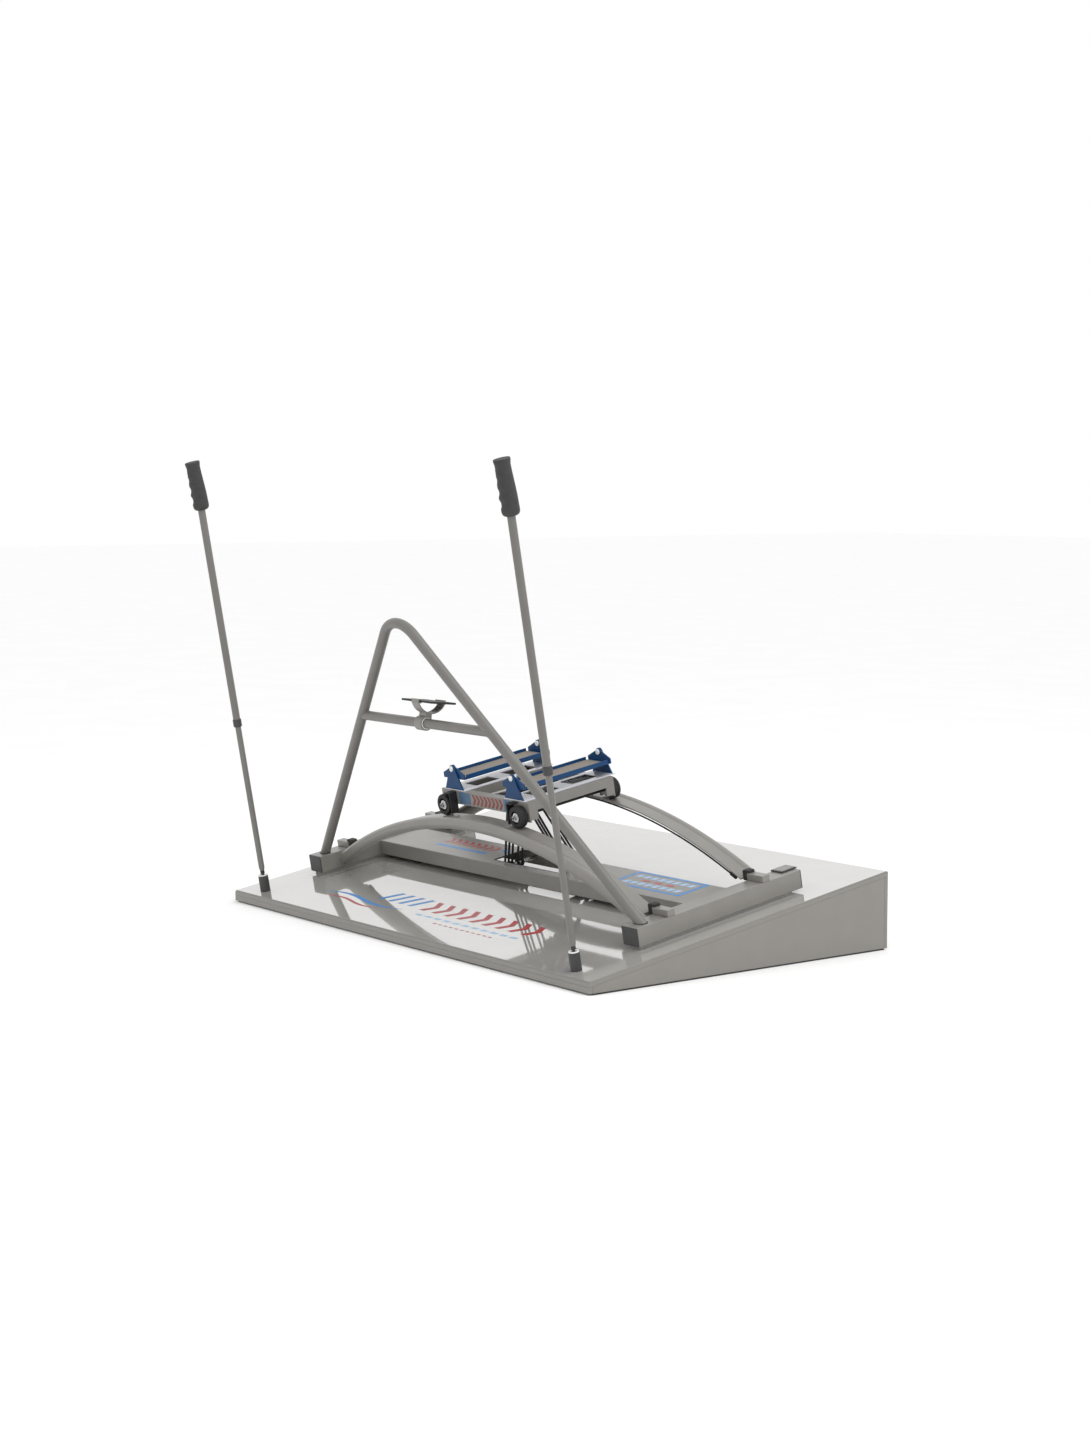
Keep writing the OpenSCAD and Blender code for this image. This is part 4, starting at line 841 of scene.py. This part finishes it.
# Across the front of the platform: a painted reflection of printed artwork mirrored in the polished deck
deckReflectionPrint = {
    "blueWave": {"left": -600, "right": -170, "y": 146, "rise": 15, "thick": 15, "turns": 1.0, "steps": 60},
    "blueBars": {"x": -350, "y": 176, "width": 20, "height": 70, "lean": 30, "pitch": 52, "count": 4},
    "redWave": {"left": -560, "right": -250, "y": 118, "rise": 11, "thick": 10, "turns": 1.0, "steps": 60},
    "redArrows": {"x": -120, "y": 168, "width": 24, "height": 74, "thick": 24, "pitch": 62, "count": 9},
    "redDashes": {"x": 40, "y": 104, "width": 15, "height": 5, "lean": 3, "pitch": 27, "count": 11},
    "paleDashes": {"x": -90, "y": 132, "width": 30, "height": 11, "lean": 5, "pitch": 46, "count": 11}}


def makeDeckReflectionPrints():
    blue = [waveBand(**deckReflectionPrint["blueWave"])] + barRow(**deckReflectionPrint["blueBars"])
    red = [waveBand(**deckReflectionPrint["redWave"])] + chevronRow(**deckReflectionPrint["redArrows"])
    red += barRow(**deckReflectionPrint["redDashes"])
    # Painted reflection: inks on the deck where printed artwork shows mirrored in the polished laminate
    makePrint("deck_reflection_print_blue", "inkBlue", blue, prints["deckLevel"])
    makePrint("deck_reflection_print_red", "inkRed", red, prints["deckLevel"])
    makePrint("deck_reflection_print_pale", "inkPaleBlue", barRow(**deckReflectionPrint["paleDashes"]), prints["deckLevel"])


# On the band box: arrows over a line at the left, and bars in a blue frame at the right
boxPrint = {
    "redArrows": {"x": -520, "y": 548, "width": 18, "height": 40, "thick": 13, "pitch": 34, "count": 8},
    "redBars": {"x": 450, "y": 552, "width": 36, "height": 10, "lean": 4, "pitch": 52, "count": 3},
    "blueDrop": {"left": -240, "right": -190, "y": 566, "rise": 3, "thick": 20, "turns": 0.5, "steps": 16},
    "blueLine": {"x": -520, "y": 516, "width": 260, "height": 12, "lean": 6},
    "frameLong": ({"x": 370, "y": 500, "width": 307, "height": 10},
                  {"x": 370, "y": 606, "width": 307, "height": 10}),
    "frameShort": ({"x": 370, "y": 510, "width": 14, "height": 96},
                   {"x": 663, "y": 510, "width": 14, "height": 96}),
    "paleBars": ({"x": 398, "y": 522, "width": 22, "height": 20, "lean": 6, "pitch": 32, "count": 8},
                 {"x": 398, "y": 574, "width": 22, "height": 20, "lean": 6, "pitch": 32, "count": 8})}


def makeBoxPrints():
    red = chevronRow(**boxPrint["redArrows"]) + barRow(**boxPrint["redBars"])
    blue = [waveBand(**boxPrint["blueDrop"])] + barRow(**boxPrint["blueLine"])
    for side in boxPrint["frameLong"] + boxPrint["frameShort"]:
        blue += barRow(**side)
    pale = []
    for row in boxPrint["paleBars"]:
        pale += barRow(**row)
    makePrint("box_print_red", "inkRed", red, prints["boxLevel"])
    makePrint("box_print_blue", "inkBlue", blue, prints["boxLevel"])
    makePrint("box_print_pale", "inkPaleBlue", pale, prints["boxLevel"])


# On the front cross member's face, where y stands for the height over the deck
beamPrint = {
    "blueLeft": {"x": -128, "y": 268, "width": 56, "height": 35},
    "blueRight": {"x": 94, "y": 268, "width": 34, "height": 35},
    "redArrows": {"x": -64, "y": 270, "width": 10, "height": 31, "thick": 11, "pitch": 19, "count": 8}}


def makeBeamPrints():
    upright = toWorld @ Matrix(((1, 0, 0, 0), (0, 0, -1, prints["beamFace"]), (0, 1, 0, 0), (0, 0, 0, 1)))
    blue = barRow(**beamPrint["blueLeft"]) + barRow(**beamPrint["blueRight"])
    red = chevronRow(**beamPrint["redArrows"])
    for name, ink, outlines in (("beam_print_blue", "beamBlue", blue), ("beam_print_red", "beamRed", red)):
        makePrint(name, ink, outlines, prints["beamLevel"], "carriage", upright)


makeDeckReflectionPrints()
makeBoxPrints()
makeBeamPrints()
print("prints made")

# Camera as in the photograph: 53 degrees round, 5.5 degrees down
view = {"place": (5.847, -4.387, 1.310), "down": 5.482, "round": 53.088, "lens": 62.37, "sensor": 36.0,
        "near": 0.1, "far": 100}
cameraData = bpy.data.cameras.new("camera")
cameraData.sensor_fit = "VERTICAL"
cameraData.sensor_height = view["sensor"]
cameraData.lens = view["lens"]
cameraData.clip_start = view["near"]
cameraData.clip_end = view["far"]
camera = bpy.data.objects.new("camera", cameraData)
camera.location = view["place"]
camera.rotation_euler = (math.radians(90 - view["down"]), 0, math.radians(view["round"]))
bpy.context.scene.collection.objects.link(camera)
bpy.context.scene.camera = camera
bpy.context.scene.view_settings.view_transform = "Standard"  # keeps the white studio white

# White studio: an even sky, one broad soft lamp and a white floor
studio = {"sky": "#ffffff", "skyStrength": 1.0, "floor": "#fdfdfd", "floorHalf": 40.0,
          "lampPlace": (2.6, 0.4, 4.2), "lampAim": (0, 0, 0.3), "lampSize": 3.0, "lampWatts": 60}
world = bpy.data.worlds.new("studio")
bpy.context.scene.world = world
world.use_nodes = True
world.node_tree.nodes["Background"].inputs["Color"].default_value = linearColour(studio["sky"])
world.node_tree.nodes["Background"].inputs["Strength"].default_value = studio["skyStrength"]
lampData = bpy.data.lights.new("softLamp", "AREA")
lampData.size = studio["lampSize"]
lampData.energy = studio["lampWatts"]
lamp = bpy.data.objects.new("softLamp", lampData)
lamp.location = studio["lampPlace"]
lamp.rotation_euler = (Vector(studio["lampAim"]) - lamp.location).to_track_quat("-Z", "Y").to_euler()
bpy.context.scene.collection.objects.link(lamp)
floorLook = {"name": "paperBackdropWhite", "colour": studio["floor"], "shade": "#fbfbfb", "roughness": 0.9,
             "glossSpread": 0.02, "cloudMm": 400, "grainMm": 2, "reliefMm": 0.01}
surfaces["backdrop"] = grainedSurface(floorLook)
floorShape = bmesh.new()
bmesh.ops.create_grid(floorShape, x_segments=1, y_segments=1, size=studio["floorHalf"])
floorMesh = finishMesh(floorShape, "floor", Matrix.Identity(4))
floorMesh.materials.append(surfaces["backdrop"])
floor = bpy.data.objects.new("floor", floorMesh)
bpy.context.scene.collection.objects.link(floor)
print("camera and studio set")
